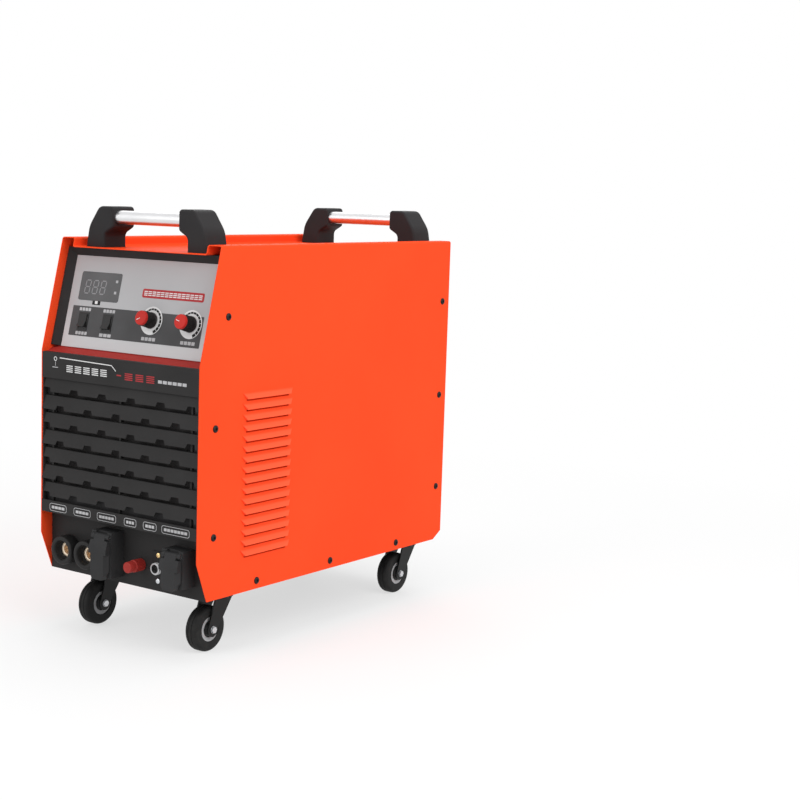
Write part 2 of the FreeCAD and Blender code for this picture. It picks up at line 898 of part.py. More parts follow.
# Silver panel plate with a window, two switch slots and two shaft holes
fascia = new_body("fascia_plate")
on_incline(fascia)
plate = slab(plan_view(fascia, "place.fascia_back"), "-size.fascia_half", "size.fascia_low",
             "size.fascia_half", "size.fascia_high")
pad(fascia, plate, "size.fascia_wall")
gaps = plan_view(fascia, "place.fascia_face")
slab(gaps, "-size.window_left", "size.window_low", "-size.window_right", "size.window_high")
for middle in ("-size.rocker_left_place", "-size.rocker_right_place"):
    slab(gaps, f"{middle} - place.slot_half", "size.control_line - place.slot_rise",
         f"{middle} + place.slot_half", "size.control_line + place.slot_rise")
for middle in ("size.knob_left_place", "size.knob_right_place"):
    ring(gaps, middle, "size.knob_line", "size.bush_radius")
cut(fascia, gaps, "size.fascia_wall")
window_corners = [(across, along) for across in ("-size.window_left", "-size.window_right")
                  for along in ("size.window_low", "size.window_high")]
soften(fascia, "size.window_corner", line_at(UP, window_corners))


def inside_window(body, low, play):
    return slab(plan_view(body, low), f"-size.window_left + {play}", f"size.window_low + {play}",
                f"-size.window_right - {play}", f"size.window_high - {play}")


lens = new_body("display_lens")
on_incline(lens)
pad(lens, inside_window(lens, "place.fascia_back", "size.lens_play"), "size.fascia_wall + size.lens_rise")
soften(lens, "size.window_corner", lambda edge, middle: runs_along(edge, UP))


# Board behind the panel with its display block, two turning controls and four posts to the frame
board = new_body("control_board")
on_incline(board)
card = slab(plan_view(board, "place.board_face"), "-place.board_half", "place.board_low",
            "place.board_half", "place.board_high")
pad(board, card, "size.board_wall")
block = inside_window(board, "place.board_front", "size.display_margin")
pad(board, block, "place.fascia_back - place.board_front")
posts = plan_view(board, "place.board_front")
for across in ("-place.post_across", "place.post_across"):
    for along in ("place.board_low + size.post_radius", "place.board_high - size.post_radius"):
        ring(posts, across, along, "size.post_radius")
pad(board, posts, "place.frame_back - place.board_front")
bushes = plan_view(board, "place.board_front")
shafts = plan_view(board, "place.board_front")
for middle in ("size.knob_left_place", "size.knob_right_place"):
    ring(bushes, middle, "size.knob_line", "size.bush_radius")
    ring(shafts, middle, "size.knob_line", "size.shaft_radius")
pad(board, bushes, "place.fascia_face - place.board_front")
pad(board, shafts, "place.fascia_face + size.knob_gap + size.shaft_length - place.board_front")


# A piece with its own axis square to the panel, at a place across and along the panel
def on_panel(body, across, along, depth, tilt="0"):
    lean(body, f"place.incline - {tilt}")
    body.setExpression("Placement.Base.x", across)
    body.setExpression("Placement.Base.y",
                       f"({along}) * place.lean_sine - ({depth}) * place.lean_cosine - place.middle")
    body.setExpression("Placement.Base.z",
                       f"size.knee_height + ({along}) * place.lean_cosine + ({depth}) * place.lean_sine")


ROCKERS = {"left": "-size.rocker_left_place", "right": "-size.rocker_right_place"}
KNOBS = {"left": "size.knob_left_place", "right": "size.knob_right_place"}

# Switch housings: a thin collar on the panel and a well that reaches the board
housings = new_body("rocker_housings")
on_incline(housings)
collars = plan_view(housings, "place.fascia_face")
wells = plan_view(housings, "place.board_front")
hollows = plan_view(housings, "place.rocker_top")
for middle in ROCKERS.values():
    slab(collars, f"{middle} - size.rocker_width / 2", "size.control_line - size.rocker_height / 2",
         f"{middle} + size.rocker_width / 2", "size.control_line + size.rocker_height / 2")
    slab(wells, f"{middle} - place.slot_half", "size.control_line - place.slot_rise",
         f"{middle} + place.slot_half", "size.control_line + place.slot_rise")
    slab(hollows, f"{middle} - place.well_half", "size.control_line - place.well_rise",
         f"{middle} + place.well_half", "size.control_line + place.well_rise")
pad(housings, collars, "size.rocker_wall")
pad(housings, wells, "place.fascia_face - place.board_front")
cut(housings, hollows, "place.rocker_top - place.board_front - size.rocker_floor")
pivots = ring(side_view(housings), "size.control_line", "place.rocker_axis",
              "size.pin_radius + size.running_gap")
cut(housings, pivots, "2 * size.rocker_left_place + size.rocker_width", both=True)


# See-saw switch key with a shallow valley on top and a pin on each side
def rocker(name, across):
    key = new_body(f"rocker_{name}")
    on_panel(key, across, "size.control_line", "place.rocker_axis", "size.rocker_tilt")
    crown = "size.rocker_crest + size.rocker_end * tan(size.rocker_tilt * 1deg)"
    outline = corners(side_view(key), [
        ("-size.rocker_end", crown),
        ("-size.rocker_foot", "-size.rocker_under"),
        ("size.rocker_foot", "-size.rocker_under"),
        ("size.rocker_end", crown),
        ("0", "size.rocker_crest"),
    ])
    pad(key, outline, "2 * place.rocker_half", both=True)
    pin = ring(side_view(key), "0", "0", "size.pin_radius")
    pad(key, pin, "2 * (place.slot_half - size.rocker_play)", both=True)


for name, across in ROCKERS.items():
    rocker(name, across)


# A point of a knob's mark, turned to the left by the angle at which that knob rests
def turned_out(name, across, along):
    sine = f"sin(size.knob_{name}_rest * 1deg)"
    cosine = f"cos(size.knob_{name}_rest * 1deg)"
    return f"({across}) * {cosine} - ({along}) * {sine}", f"({across}) * {sine} + ({along}) * {cosine}"


# Fluted turning knob with a blind bore for the shaft, and the coloured cap on it
def knob(name, across):
    grip = new_body(f"knob_{name}")
    on_panel(grip, across, "size.knob_line", "place.fascia_face + size.knob_gap")
    bore = "size.shaft_radius + size.running_gap"
    half = corners(front_view(grip), [
        ("0", "size.shaft_length + size.seat_gap"),
        (bore, "size.shaft_length + size.seat_gap"),
        (bore, "0"),
        ("size.knob_radius", "0"),
        ("size.knob_radius", "size.flute_foot"),
        ("size.knob_radius - size.knob_taper", "size.knob_length"),
        ("0", "size.knob_length"),
    ])
    turn(grip, half)
    flute = ring(plan_view(grip, "size.knob_length"), "size.knob_radius", "0", "size.flute_radius")
    groove = cut(grip, flute, "size.knob_length - size.flute_foot")
    around(grip, [groove], "Z_Axis", "size.knob_flutes")
    cap = new_body(f"knob_cap_{name}")
    on_panel(cap, across, "size.knob_line", "place.fascia_face + size.knob_gap")
    disc = ring(plan_view(cap, "size.knob_length"), "0", "0", "size.cap_radius")
    pad(cap, disc, "size.cap_height")
    soften(cap, "size.mark_depth", on_circle(UP, "size.cap_radius", "size.knob_length + size.cap_height"))
    mark = corners(plan_view(cap, "size.knob_length + size.cap_height"), [
        turned_out(name, "-size.mark_half", "size.mark_start"),
        turned_out(name, "size.mark_half", "size.mark_start"),
        turned_out(name, "size.mark_half", "size.cap_radius"),
        turned_out(name, "-size.mark_half", "size.cap_radius"),
    ])
    cut(cap, mark, "size.mark_depth")


for name, across in KNOBS.items():
    knob(name, across)


# Louvre grille: header, label strip, ribs and end walls carry seven leaning slats with staggered notches
grille = new_body("louvre_grille")
shell = corners(side_view(grille), [
    ("size.grille_depth", "size.grille_top"),
    ("0", "size.grille_top"),
    ("0", "place.slat_top"),
    ("size.grille_wall", "place.slat_top"),
    ("size.grille_wall", "size.grille_top - size.grille_wall"),
    ("size.grille_depth", "size.grille_top - size.grille_wall"),
])
pad(grille, shell, "2 * place.grille_side", both=True)
strip = corners(side_view(grille), [
    ("size.grille_depth", "size.grille_foot"),
    ("0", "size.grille_foot"),
    ("0", "place.strip_top"),
    ("size.grille_wall", "place.strip_top"),
    ("size.grille_wall", "size.grille_foot + size.grille_wall"),
    ("size.grille_depth", "size.grille_foot + size.grille_wall"),
])
pad(grille, strip, "2 * place.grille_side", both=True)
bars = front_view(grille, "size.grille_depth - size.rib_depth")
for side in (-1, 0, 1):
    middle = f"{side} * place.rib_across"
    slab(bars, f"{middle} - size.rib_width / 2", "size.grille_foot", f"{middle} + size.rib_width / 2",
         "size.grille_top")
pad(grille, bars, "size.rib_depth", back=True)
blade = corners(side_view(grille), [
    ("0", "place.slat_low"),
    ("size.slat_wall", "place.slat_low"),
    ("size.slat_lean + size.slat_wall", "place.slat_high - size.slat_wall"),
    ("size.grille_depth", "place.slat_high - size.slat_wall + size.slat_lip"),
    ("size.grille_depth", "place.slat_high + size.slat_lip"),
    ("size.slat_lean", "place.slat_high"),
])
slat = pad(grille, blade, "2 * place.grille_side", both=True)
row(grille, [slat], "Z_Axis", "size.slat_pitch", "size.slat_count")


# Trapezoid notches in a slat's lower edge, every second slat shifted by half a pitch
def notches(start, low, first, count):
    drawing = front_view(grille)
    for step in range(count):
        middle = f"{start} + {step} * size.notch_pitch"
        left = f"{middle} - size.notch_width / 2"
        right = f"{middle} + size.notch_width / 2"
        if step == 0 and first:
            left = "-place.grille_side"
        corners(drawing, [
            (left, low),
            (right, low),
            (f"{middle} + size.notch_crest / 2", f"{low} + size.notch_rise"),
            (left if step == 0 and first else f"{middle} - size.notch_crest / 2", f"{low} + size.notch_rise"),
        ])
    return cut(grille, drawing, "size.grille_depth - size.rib_depth")


odd = notches("place.notch_start", "place.slat_low", True, ODD_NOTCHES)
row(grille, [odd], "Z_Axis", "2 * size.slat_pitch", "place.odd_rows")
even = notches("place.notch_start + size.notch_shift", "place.slat_low + size.slat_pitch", False, EVEN_NOTCHES)
row(grille, [even], "Z_Axis", "2 * size.slat_pitch", "place.even_rows")
closings = front_view(grille, "size.end_setback")
for side in (-1, 1):
    slab(closings, f"{side} * (place.grille_side - size.grille_wall / 2) - size.grille_wall / 2",
         "size.grille_foot",
         f"{side} * (place.grille_side - size.grille_wall / 2) + size.grille_wall / 2", "size.grille_top")
pad(grille, closings, "size.grille_depth - size.end_setback", back=True)


# Connection panel under the grille, with a hole for each fitting
panel = new_body("socket_panel")
flat = slab(front_view(panel, "size.panel_setback"), "-place.inner", "size.floor_height",
            "place.inner", "size.grille_foot")
pad(panel, flat, "size.panel_sheet", back=True)
holes = front_view(panel, "size.panel_setback")
SOCKETS = {"work": "-size.work_socket_place", "torch": "-size.torch_socket_place"}
OUTLETS = {"left": "size.outlet_left_place", "right": "size.outlet_right_place"}
for across in SOCKETS.values():
    ring(holes, across, "size.socket_line", "size.neck_radius")
ring(holes, "size.post_place", "size.post_line", "size.post_stud")
ring(holes, "size.connector_place", "size.socket_line", "size.connector_bore")
cut(panel, holes, "size.panel_sheet")


# A round fitting whose own axis runs out of the panel towards the front
def on_front(body, across, up):
    body.setExpression("Placement.Base.x", across)
    body.setExpression("Placement.Base.z", up)


# Power sockets: an insulating collar on the panel with a neck behind it, and brass inserts with a key slot
def power_socket(name, across):
    collar = new_body(f"{name}_socket")
    on_front(collar, across, "size.socket_line")
    front = "size.panel_setback - size.collar_reach"
    half = corners(plan_view(collar), [
        ("size.insert_radius", front),
        ("size.collar_radius - size.collar_bevel", front),
        ("size.collar_radius", f"{front} + size.collar_bevel"),
        ("size.collar_radius", "size.panel_setback"),
        ("size.neck_radius", "size.panel_setback"),
        ("size.neck_radius", "size.panel_setback + size.neck_length"),
        ("size.insert_radius", "size.panel_setback + size.neck_length"),
    ])
    turn(collar, half)


for name, across in SOCKETS.items():
    power_socket(name, across)
inserts = new_body("socket_inserts")
on_front(inserts, "0", "size.socket_line")
mouth = "size.panel_setback - size.collar_reach + size.insert_setback"
outer = front_view(inserts, mouth)
bores = front_view(inserts, mouth)
keys = front_view(inserts, mouth)
for across in SOCKETS.values():
    ring(outer, across, "0", "size.insert_radius")
    ring(bores, across, "0", "size.insert_bore")
    slab(keys, across, "-size.key_width / 2",
         f"{across} + size.insert_bore + size.key_depth", "size.key_width / 2")
pad(inserts, outer, "size.insert_length", back=True)
cut(inserts, bores, "size.insert_length - size.insert_end")
cut(inserts, keys, "size.insert_length - size.insert_end")


# Outlet bases: boxes with a round well, two contact holes and knuckles that hold the lid's pin
bases = new_body("outlet_bases")
pins = new_body("outlet_pins")
boxes = front_view(bases, "size.panel_setback")
lid_gaps = front_view(bases, f"place.hinge_y - size.hinge_radius - {PAST}")
wells = front_view(bases, "place.outlet_face")
contacts = front_view(bases, "place.outlet_face + size.outlet_bore_depth")
for name, across in OUTLETS.items():
    head = f"size.hinge_{name}_height + size.outlet_brow"
    slab(boxes, f"{across} - place.outlet_half", f"size.lid_{name}_foot + size.outlet_sill",
         f"{across} + place.outlet_half", head)
    slab(lid_gaps, f"{across} - size.lid_neck - size.seat_gap",
         f"size.hinge_{name}_height - size.hinge_radius - 2 * size.seat_gap",
         f"{across} + size.lid_neck + size.seat_gap", f"{head} + {PAST}")
    ring(wells, across, "size.outlet_bore_line", "size.outlet_bore")
    for side in (-1, 1):
        ring(contacts, f"{across} + {side} * size.contact_ring", "size.outlet_bore_line",
             "size.contact_radius")
pad(bases, boxes, "size.outlet_reach")
for name, across in OUTLETS.items():
    knuckles = ring(side_view(bases, f"{across} - place.lid_half"), "place.hinge_y",
                    f"size.hinge_{name}_height", "size.hinge_radius")
    pad(bases, knuckles, "size.lid_width")
cut(bases, lid_gaps, f"{PAST} + 2 * size.hinge_radius + size.seat_gap")
cut(bases, wells, "size.outlet_bore_depth")
cut(bases, contacts, "size.contact_depth")
for name, across in OUTLETS.items():
    start = f"{across} - place.lid_half"
    hole = ring(side_view(bases, start), "place.hinge_y", f"size.hinge_{name}_height", "size.pin_radius")
    cut(bases, hole, "size.lid_width", back=True)
    rod = ring(side_view(pins, start), "place.hinge_y", f"size.hinge_{name}_height", "size.pin_radius")
    pad(pins, rod, "size.lid_width")


# Spring lid over an outlet: a hollow cover with a narrow neck round the pin, bevelled sides and a tapering foot
def outlet_lid(name, across):
    lid = new_body(f"outlet_lid_{name}")
    on_front(lid, across, "0")
    hinge, knee, foot = f"size.hinge_{name}_height", f"size.lid_{name}_knee", f"size.lid_{name}_foot"
    shoulder = f"{hinge} - size.lid_shoulder"
    chest = corners(side_view(lid), [
        ("place.outlet_face - size.seat_gap", hinge),
        ("place.hinge_y - size.hinge_radius", hinge),
        ("place.lid_front", knee),
        ("place.lid_front", foot),
        ("place.outlet_face - size.seat_gap", foot),
    ])
    pad(lid, chest, "size.lid_width", both=True)
    for side in (-1, 1):
        beside_neck = corners(front_view(lid), [
            (f"{side} * (place.lid_half + {PAST})", f"{shoulder} - size.lid_slope"),
            (f"{side} * place.lid_half", f"{shoulder} - size.lid_slope"),
            (f"{side} * (place.lid_half - size.lid_slope)", shoulder),
            (f"{side} * size.lid_neck", shoulder),
            (f"{side} * size.lid_neck", f"{hinge} + {PAST}"),
            (f"{side} * (place.lid_half + {PAST})", f"{hinge} + {PAST}"),
        ])
        cut(lid, beside_neck, "size.width", both=True)
        beside_foot = corners(front_view(lid), [
            (f"{side} * (place.lid_half + {PAST})", f"{foot} + size.lid_corner"),
            (f"{side} * place.lid_half", f"{foot} + size.lid_corner"),
            (f"{side} * (place.lid_half - size.lid_narrowing)", foot),
            (f"{side} * (place.lid_half - size.lid_narrowing)", f"{foot} - {PAST}"),
            (f"{side} * (place.lid_half + {PAST})", f"{foot} - {PAST}"),
        ])
        cut(lid, beside_foot, "size.width", both=True)
        bevel = corners(plan_view(lid, f"{knee} - size.lid_bevel_drop"), [
            (f"{side} * (place.lid_half - size.lid_bevel)", "place.lid_front"),
            (f"{side} * place.lid_half", "place.lid_front + size.lid_bevel_deep"),
            (f"{side} * (place.lid_half + {PAST})", "place.lid_front + size.lid_bevel_deep"),
            (f"{side} * (place.lid_half + {PAST})", f"place.lid_front - {PAST}"),
            (f"{side} * (place.lid_half - size.lid_bevel)", f"place.lid_front - {PAST}"),
        ])
        cut(lid, bevel, f"{knee} - {foot}")
    hollow = corners(side_view(lid), [
        ("place.outlet_face", f"{shoulder} - size.lid_wall"),
        ("place.hinge_y - size.hinge_radius", f"{shoulder} - size.lid_wall"),
        ("place.lid_front + size.lid_wall", f"{knee} - size.lid_wall"),
        ("place.lid_front + size.lid_wall", f"{foot} + size.lid_sill"),
        ("place.outlet_face", f"{foot} + size.lid_sill"),
    ])
    cut(lid, hollow, "size.lid_width - 2 * size.lid_bevel - 2 * size.lid_wall", both=True)
    barrel = ring(side_view(lid), "place.hinge_y", hinge, "size.hinge_radius")
    pad(lid, barrel, "2 * size.lid_neck", both=True)
    bore = ring(side_view(lid), "place.hinge_y", hinge, "size.pin_radius + size.running_gap")
    cut(lid, bore, "size.width", both=True)


for name, across in OUTLETS.items():
    outlet_lid(name, across)


# Binding post: a threaded stud through the panel and the coloured cap that screws along it
stud = new_body("binding_post_stud")
on_front(stud, "size.post_place", "size.post_line")
rod = corners(plan_view(stud), [
    ("0", "place.post_back + size.post_collar"),
    ("size.post_stud", "place.post_back + size.post_collar"),
    ("size.post_stud", "place.shelf_back"),
    ("size.post_nut", "place.shelf_back"),
    ("size.post_nut", "place.shelf_back + size.post_nut"),
    ("0", "place.shelf_back + size.post_nut"),
])
turn(stud, rod)
post = new_body("binding_post_cap")
on_front(post, "size.post_place", "size.post_line")
half = corners(plan_view(post), [
    ("0", "place.post_back"),
    ("size.post_tip - size.post_bevel", "place.post_back"),
    ("size.post_tip", "place.post_back + size.post_bevel"),
    ("size.post_tip", "place.post_back + size.post_shoulder"),
    ("size.post_waist", "place.post_back + size.post_shoulder + size.post_bevel"),
    ("size.post_barrel", "place.post_back + size.post_shoulder + 2 * size.post_bevel"),
    ("size.post_barrel", "size.panel_setback - size.seat_gap"),
    ("size.post_stud + size.running_gap", "size.panel_setback - size.seat_gap"),
    ("size.post_stud + size.running_gap", "place.post_back + size.post_collar - size.seat_gap"),
    ("0", "place.post_back + size.post_collar - size.seat_gap"),
])
turn(post, half)
knurl = ring(front_view(post, "size.panel_setback"), "size.post_barrel + size.flute_radius / 2", "0",
             "size.flute_radius")
groove = cut(post, knurl, "size.post_knurl", back=True)
around(post, [groove], "Y_Axis", "size.post_flutes")


# Control plug socket: flange plate on the panel, metal ring, insulating face and two flange screws
plate = new_body("connector_flange")
on_front(plate, "size.connector_place", "size.socket_line")
outline = slab(front_view(plate, "size.panel_setback"), "-size.flange_width / 2", "-size.flange_height / 2",
               "size.flange_width / 2", "size.flange_height / 2")
pad(plate, outline, "size.flange_wall")
soften(plate, "size.flange_wall", lambda edge, middle: runs_along(edge, DEEP))
bores = front_view(plate, "size.panel_setback")
ring(bores, "0", "0", "size.connector_bore")
for side in (-1, 1):
    ring(bores, "0", f"{side} * size.flange_screw", "size.screw_radius")
cut(plate, bores, "size.width", both=True)
shell = new_body("connector_shell")
on_front(shell, "size.connector_place", "size.socket_line")
rim = "size.panel_setback - size.flange_wall - size.connector_reach"
half = corners(plan_view(shell), [
    ("size.connector_bore - size.sheet", rim),
    ("size.connector_radius - size.mark_depth", rim),
    ("size.connector_radius", f"{rim} + size.mark_depth"),
    ("size.connector_radius", "size.panel_setback - size.flange_wall"),
    ("size.connector_bore", "size.panel_setback - size.flange_wall"),
    ("size.connector_bore", "place.shelf_back + size.neck_length"),
    ("size.connector_bore - size.sheet", "place.shelf_back + size.neck_length"),
])
turn(shell, half)
face = new_body("connector_insert")
on_front(face, "size.connector_place", "size.socket_line")
disc = ring(front_view(face, f"{rim} + size.connector_recess"), "0", "0", "size.connector_bore - size.sheet")
pad(face, disc, "size.neck_length", back=True)
contacts = front_view(face, f"{rim} + size.connector_recess")
for step in range(PRONGS):
    angle = f"({step} + 0.5) * 360deg / {PRONGS}"
    ring(contacts, f"cos({angle}) * size.prong_ring", f"sin({angle}) * size.prong_ring", "size.prong_radius")
cut(face, contacts, "size.prong_length")
flange_screws = new_body("connector_screws")
on_front(flange_screws, "size.connector_place", "size.socket_line")
heads = front_view(flange_screws, "size.panel_setback - size.flange_wall")
shanks = front_view(flange_screws, "size.panel_setback - size.flange_wall")
for side in (-1, 1):
    ring(heads, "0", f"{side} * size.flange_screw", "size.flange_screw_head")
    ring(shanks, "0", f"{side} * size.flange_screw", "size.screw_radius")
head = pad(flange_screws, heads, "size.sheet")
soften(flange_screws, "size.mark_depth",
       on_circle(DEEP, "size.flange_screw_head", "size.panel_setback - size.flange_wall - size.sheet"))
pad(flange_screws, shanks, "size.flange_wall", back=True)


# Handle ends: four leaning blocks on the tray, each with a socket for the tube and two bolt holes
ends = new_body("handle_ends")
block = corners(front_view(ends, "size.handle_front"), [
    ("size.handle_inner", "place.tray"),
    ("size.handle_foot", "place.tray"),
    ("size.handle_belly", "size.handle_bulge"),
    ("size.handle_shoulder", "size.handle_height"),
    ("size.handle_collar", "size.handle_height"),
    ("size.handle_collar", "place.tube_under"),
    ("size.handle_inner", "size.handle_knee"),
])
pad(ends, block, "size.handle_block", both=True)
for radius, across, up in (
    ("size.handle_swell", "size.handle_belly", "size.handle_bulge"),
    ("size.handle_round", "size.handle_shoulder", "size.handle_height"),
    ("size.handle_inner_round", "size.handle_collar", "size.handle_height"),
    ("size.handle_inner_round", "size.handle_collar", "place.tube_under"),
    ("size.handle_hollow", "size.handle_inner", "size.handle_knee"),
):
    soften(ends, radius, line_at(DEEP, [(across, up)]))


def is_upper_rim(edge, middle):
    if not is_at(abs(middle.y - number("size.handle_front")), "size.handle_block / 2"):
        return False
    return middle.z > number("place.tray + size.sheet")


soften(ends, "size.handle_edge", is_upper_rim)
tube_seat = ring(side_view(ends, "size.handle_collar"), "place.tube_front", "size.handle_axis",
                 "size.handle_tube")
seat = cut(ends, tube_seat, "size.handle_socket", back=True)
bolt_seats = plan_view(ends, "place.tray")
for step in (-1, 1):
    ring(bolt_seats, f"place.bolt_across + {step} * size.bolt_spread", "size.handle_front + size.bolt_back",
         "size.bolt_radius")
cut(ends, bolt_seats, "size.bolt_length", back=True)
spread(ends, "size.handle_rear - size.handle_front")
tubes = new_body("handle_tubes")
tube_ring = side_view(tubes)
ring(tube_ring, "place.tube_front", "size.handle_axis", "size.handle_tube")
ring(tube_ring, "place.tube_front", "size.handle_axis", "size.handle_tube - size.tube_wall")
grip = pad(tubes, tube_ring, "2 * (size.handle_collar + size.handle_socket)", both=True)
row(tubes, [grip], "Y_Axis", "size.handle_rear - size.handle_front", "2")


# Button-head screws: nine on each side, along the front, the rear and the foot of the cover
screws = new_body("cover_screws")
heads = side_view(screws, "place.half")
shanks = side_view(screws, "place.half")
for along, up in screw_spots():
    ring(heads, along, up, "size.screw_head")
    ring(shanks, along, up, "size.screw_radius")
pad(screws, heads, "size.screw_rise")
soften(screws, "size.screw_round", on_circle(ACROSS, "size.screw_head", "place.half + size.screw_rise"),
       "PartDesign::Chamfer")
pad(screws, shanks, "size.screw_length", back=True)
spread(screws)


# Rear panel: plate with three flanges, the fan's hole and the breaker's slot
rear = new_body("rear_panel")
plate = slab(front_view(rear, "place.rear_inner"), "-place.inner", "place.heel_z", "place.inner",
             "place.tray_under")
pad(rear, plate, "size.sheet", back=True)
sides = slab(side_view(rear, "place.inner - size.sheet"), "place.rear_inner - size.frame_flange",
             "place.flange_top", "place.rear_inner", "place.tray_under")
side_flange = pad(rear, sides, "size.sheet")
mirror(rear, [side_flange])
lid_flange = slab(side_view(rear), "place.rear_inner - size.fold / 2", "place.tray_under - size.sheet",
                  "place.rear_inner", "place.tray_under")
pad(rear, lid_flange, "2 * place.inner", both=True)
openings = front_view(rear, "place.rear_inner")
ring(openings, "0", "size.fan_line", "size.fan_bore")
slab(openings, "size.breaker_place - size.breaker_half", "size.breaker_line - size.breaker_slot",
     "size.breaker_place + size.breaker_half", "size.breaker_line + size.breaker_slot")
ring(openings, "size.gland_place", "size.gland_line", "size.gland_neck")
ring(openings, "size.inlet_place", "size.inlet_line", "size.inlet_neck")
cut(rear, openings, "size.sheet")
screw_holes(rear)


# Axial fan: square frame with a round duct, three struts to the motor seat, and a shaft
duct = new_body("fan_frame")
on_front(duct, "0", "size.fan_line")
box = slab(front_view(duct, "place.rear_inner"), "-size.fan_side / 2", "-size.fan_side / 2",
           "size.fan_side / 2", "size.fan_side / 2")
pad(duct, box, "size.fan_deep")
soften(duct, "size.handle_edge", lambda edge, middle: runs_along(edge, DEEP))
bore = ring(front_view(duct, "place.rear_inner"), "0", "0", "size.fan_bore")
cut(duct, bore, "size.width", both=True)
seat = ring(front_view(duct, "place.fan_front"), "0", "0", "size.fan_hub")
pad(duct, seat, "size.fan_strut", back=True)
strut = slab(front_view(duct, "place.fan_front"), "-size.fan_strut", "0", "size.fan_strut",
             "size.fan_side / 2 - size.fan_strut / 2")
bar = pad(duct, strut, "size.fan_strut", back=True)
around(duct, [bar], "Y_Axis", "3")
axle = ring(front_view(duct, "place.fan_front"), "0", "0", "size.fan_shaft")
pad(duct, axle, "size.fan_deep - size.fan_strut", back=True)
rotor = new_body("fan_rotor")
on_front(rotor, "0", "size.fan_line")
hub = front_view(rotor, "place.fan_front + size.fan_strut + size.fan_clear")
ring(hub, "0", "0", "size.fan_hub")
pad(rotor, hub, "place.fan_run", back=True)
twist = "place.fan_run * size.fan_pitch"
middle_y = "place.fan_front + size.fan_strut + size.fan_clear"
wing = corners(side_view(rotor, "size.fan_hub / 2"), [
    (f"{middle_y} + size.fan_blade", f"-{twist} / 2"),
    (f"{middle_y} + place.fan_run", f"{twist} / 2 - size.fan_blade"),
    (f"{middle_y} + place.fan_run - size.fan_blade", f"{twist} / 2"),
    (middle_y, f"-{twist} / 2 + size.fan_blade"),
])
wing_pad = pad(rotor, wing, "size.fan_tip - size.fan_hub / 2")
around(rotor, [wing_pad], "Y_Axis", "size.fan_blades")
spindle = ring(front_view(rotor), "0", "0", "size.fan_shaft + size.running_gap")
cut(rotor, spindle, "size.depth")
guard = new_body("fan_guard")
on_front(guard, "0", "size.fan_line")
profile = plan_view(guard)
for step in range(GUARD_RINGS):
    radius = f"size.fan_bore - {step} * size.guard_pitch"
    slab(profile, f"{radius} - size.guard_wire", "place.guard_face - size.guard_wire",
         radius, "place.guard_face")
turn(guard, profile)
arm = "size.fan_bore + size.guard_foot"
upright = slab(front_view(guard, "place.guard_face"), "-size.guard_wire", minus(arm), "size.guard_wire", arm)
pad(guard, upright, "size.guard_wire")
level = slab(front_view(guard, "place.guard_face"), minus(arm), "-size.guard_wire", arm, "size.guard_wire")
pad(guard, level, "size.guard_wire")
feet = front_view(guard, "place.rear_face")
for across, up in (("0", arm), ("0", minus(arm)), (arm, "0"), (minus(arm), "0")):
    ring(feet, across, up, "size.guard_foot / 2")
pad(guard, feet, "size.guard_reach", back=True)


# Mains breaker: body behind the panel, nose through it with a slot, and a toggle that tilts in the slot
breaker = new_body("breaker_body")
on_front(breaker, "size.breaker_place", "size.breaker_line")
case = slab(front_view(breaker, "place.rear_inner"), "-size.breaker_half", "-size.breaker_height",
            "size.breaker_half", "size.breaker_height")
pad(breaker, case, "size.breaker_deep")
nose = slab(front_view(breaker, "place.rear_inner"), "-size.breaker_half", "-size.breaker_slot",
            "size.breaker_half", "size.breaker_slot")
pad(breaker, nose, "size.sheet + size.breaker_nose", back=True)
groove = slab(front_view(breaker, "place.nose_face"), "-(size.toggle_half + size.rocker_play)",
              "-size.toggle_slot", "size.toggle_half + size.rocker_play", "size.toggle_slot")
cut(breaker, groove, "size.toggle_depth + size.toggle_radius + size.seat_gap", back=True)
axis_hole = ring(side_view(breaker), "place.toggle_y", "0", "size.pin_radius + size.running_gap")
cut(breaker, axis_hole, "2 * (size.toggle_half + size.toggle_pin)", both=True)
toggle = new_body("breaker_toggle")
lean(toggle, "-size.toggle_tilt")
toggle.setExpression("Placement.Base.x", "size.breaker_place")
toggle.setExpression("Placement.Base.y", "place.toggle_y - place.middle")
toggle.setExpression("Placement.Base.z", "size.breaker_line")
drum = ring(side_view(toggle), "0", "0", "size.toggle_radius")
pad(toggle, drum, "2 * size.toggle_half", both=True)
lever = corners(side_view(toggle), [
    ("0", "-size.toggle_radius / 2"),
    ("size.toggle_reach", "-size.toggle_radius / 3"),
    ("size.toggle_reach", "size.toggle_radius / 3"),
    ("0", "size.toggle_radius / 2"),
])
pad(toggle, lever, "2 * size.toggle_half", both=True)
pin = ring(side_view(toggle), "0", "0", "size.pin_radius")
pad(toggle, pin, "2 * (size.toggle_half + size.toggle_pin - size.seat_gap)", both=True)


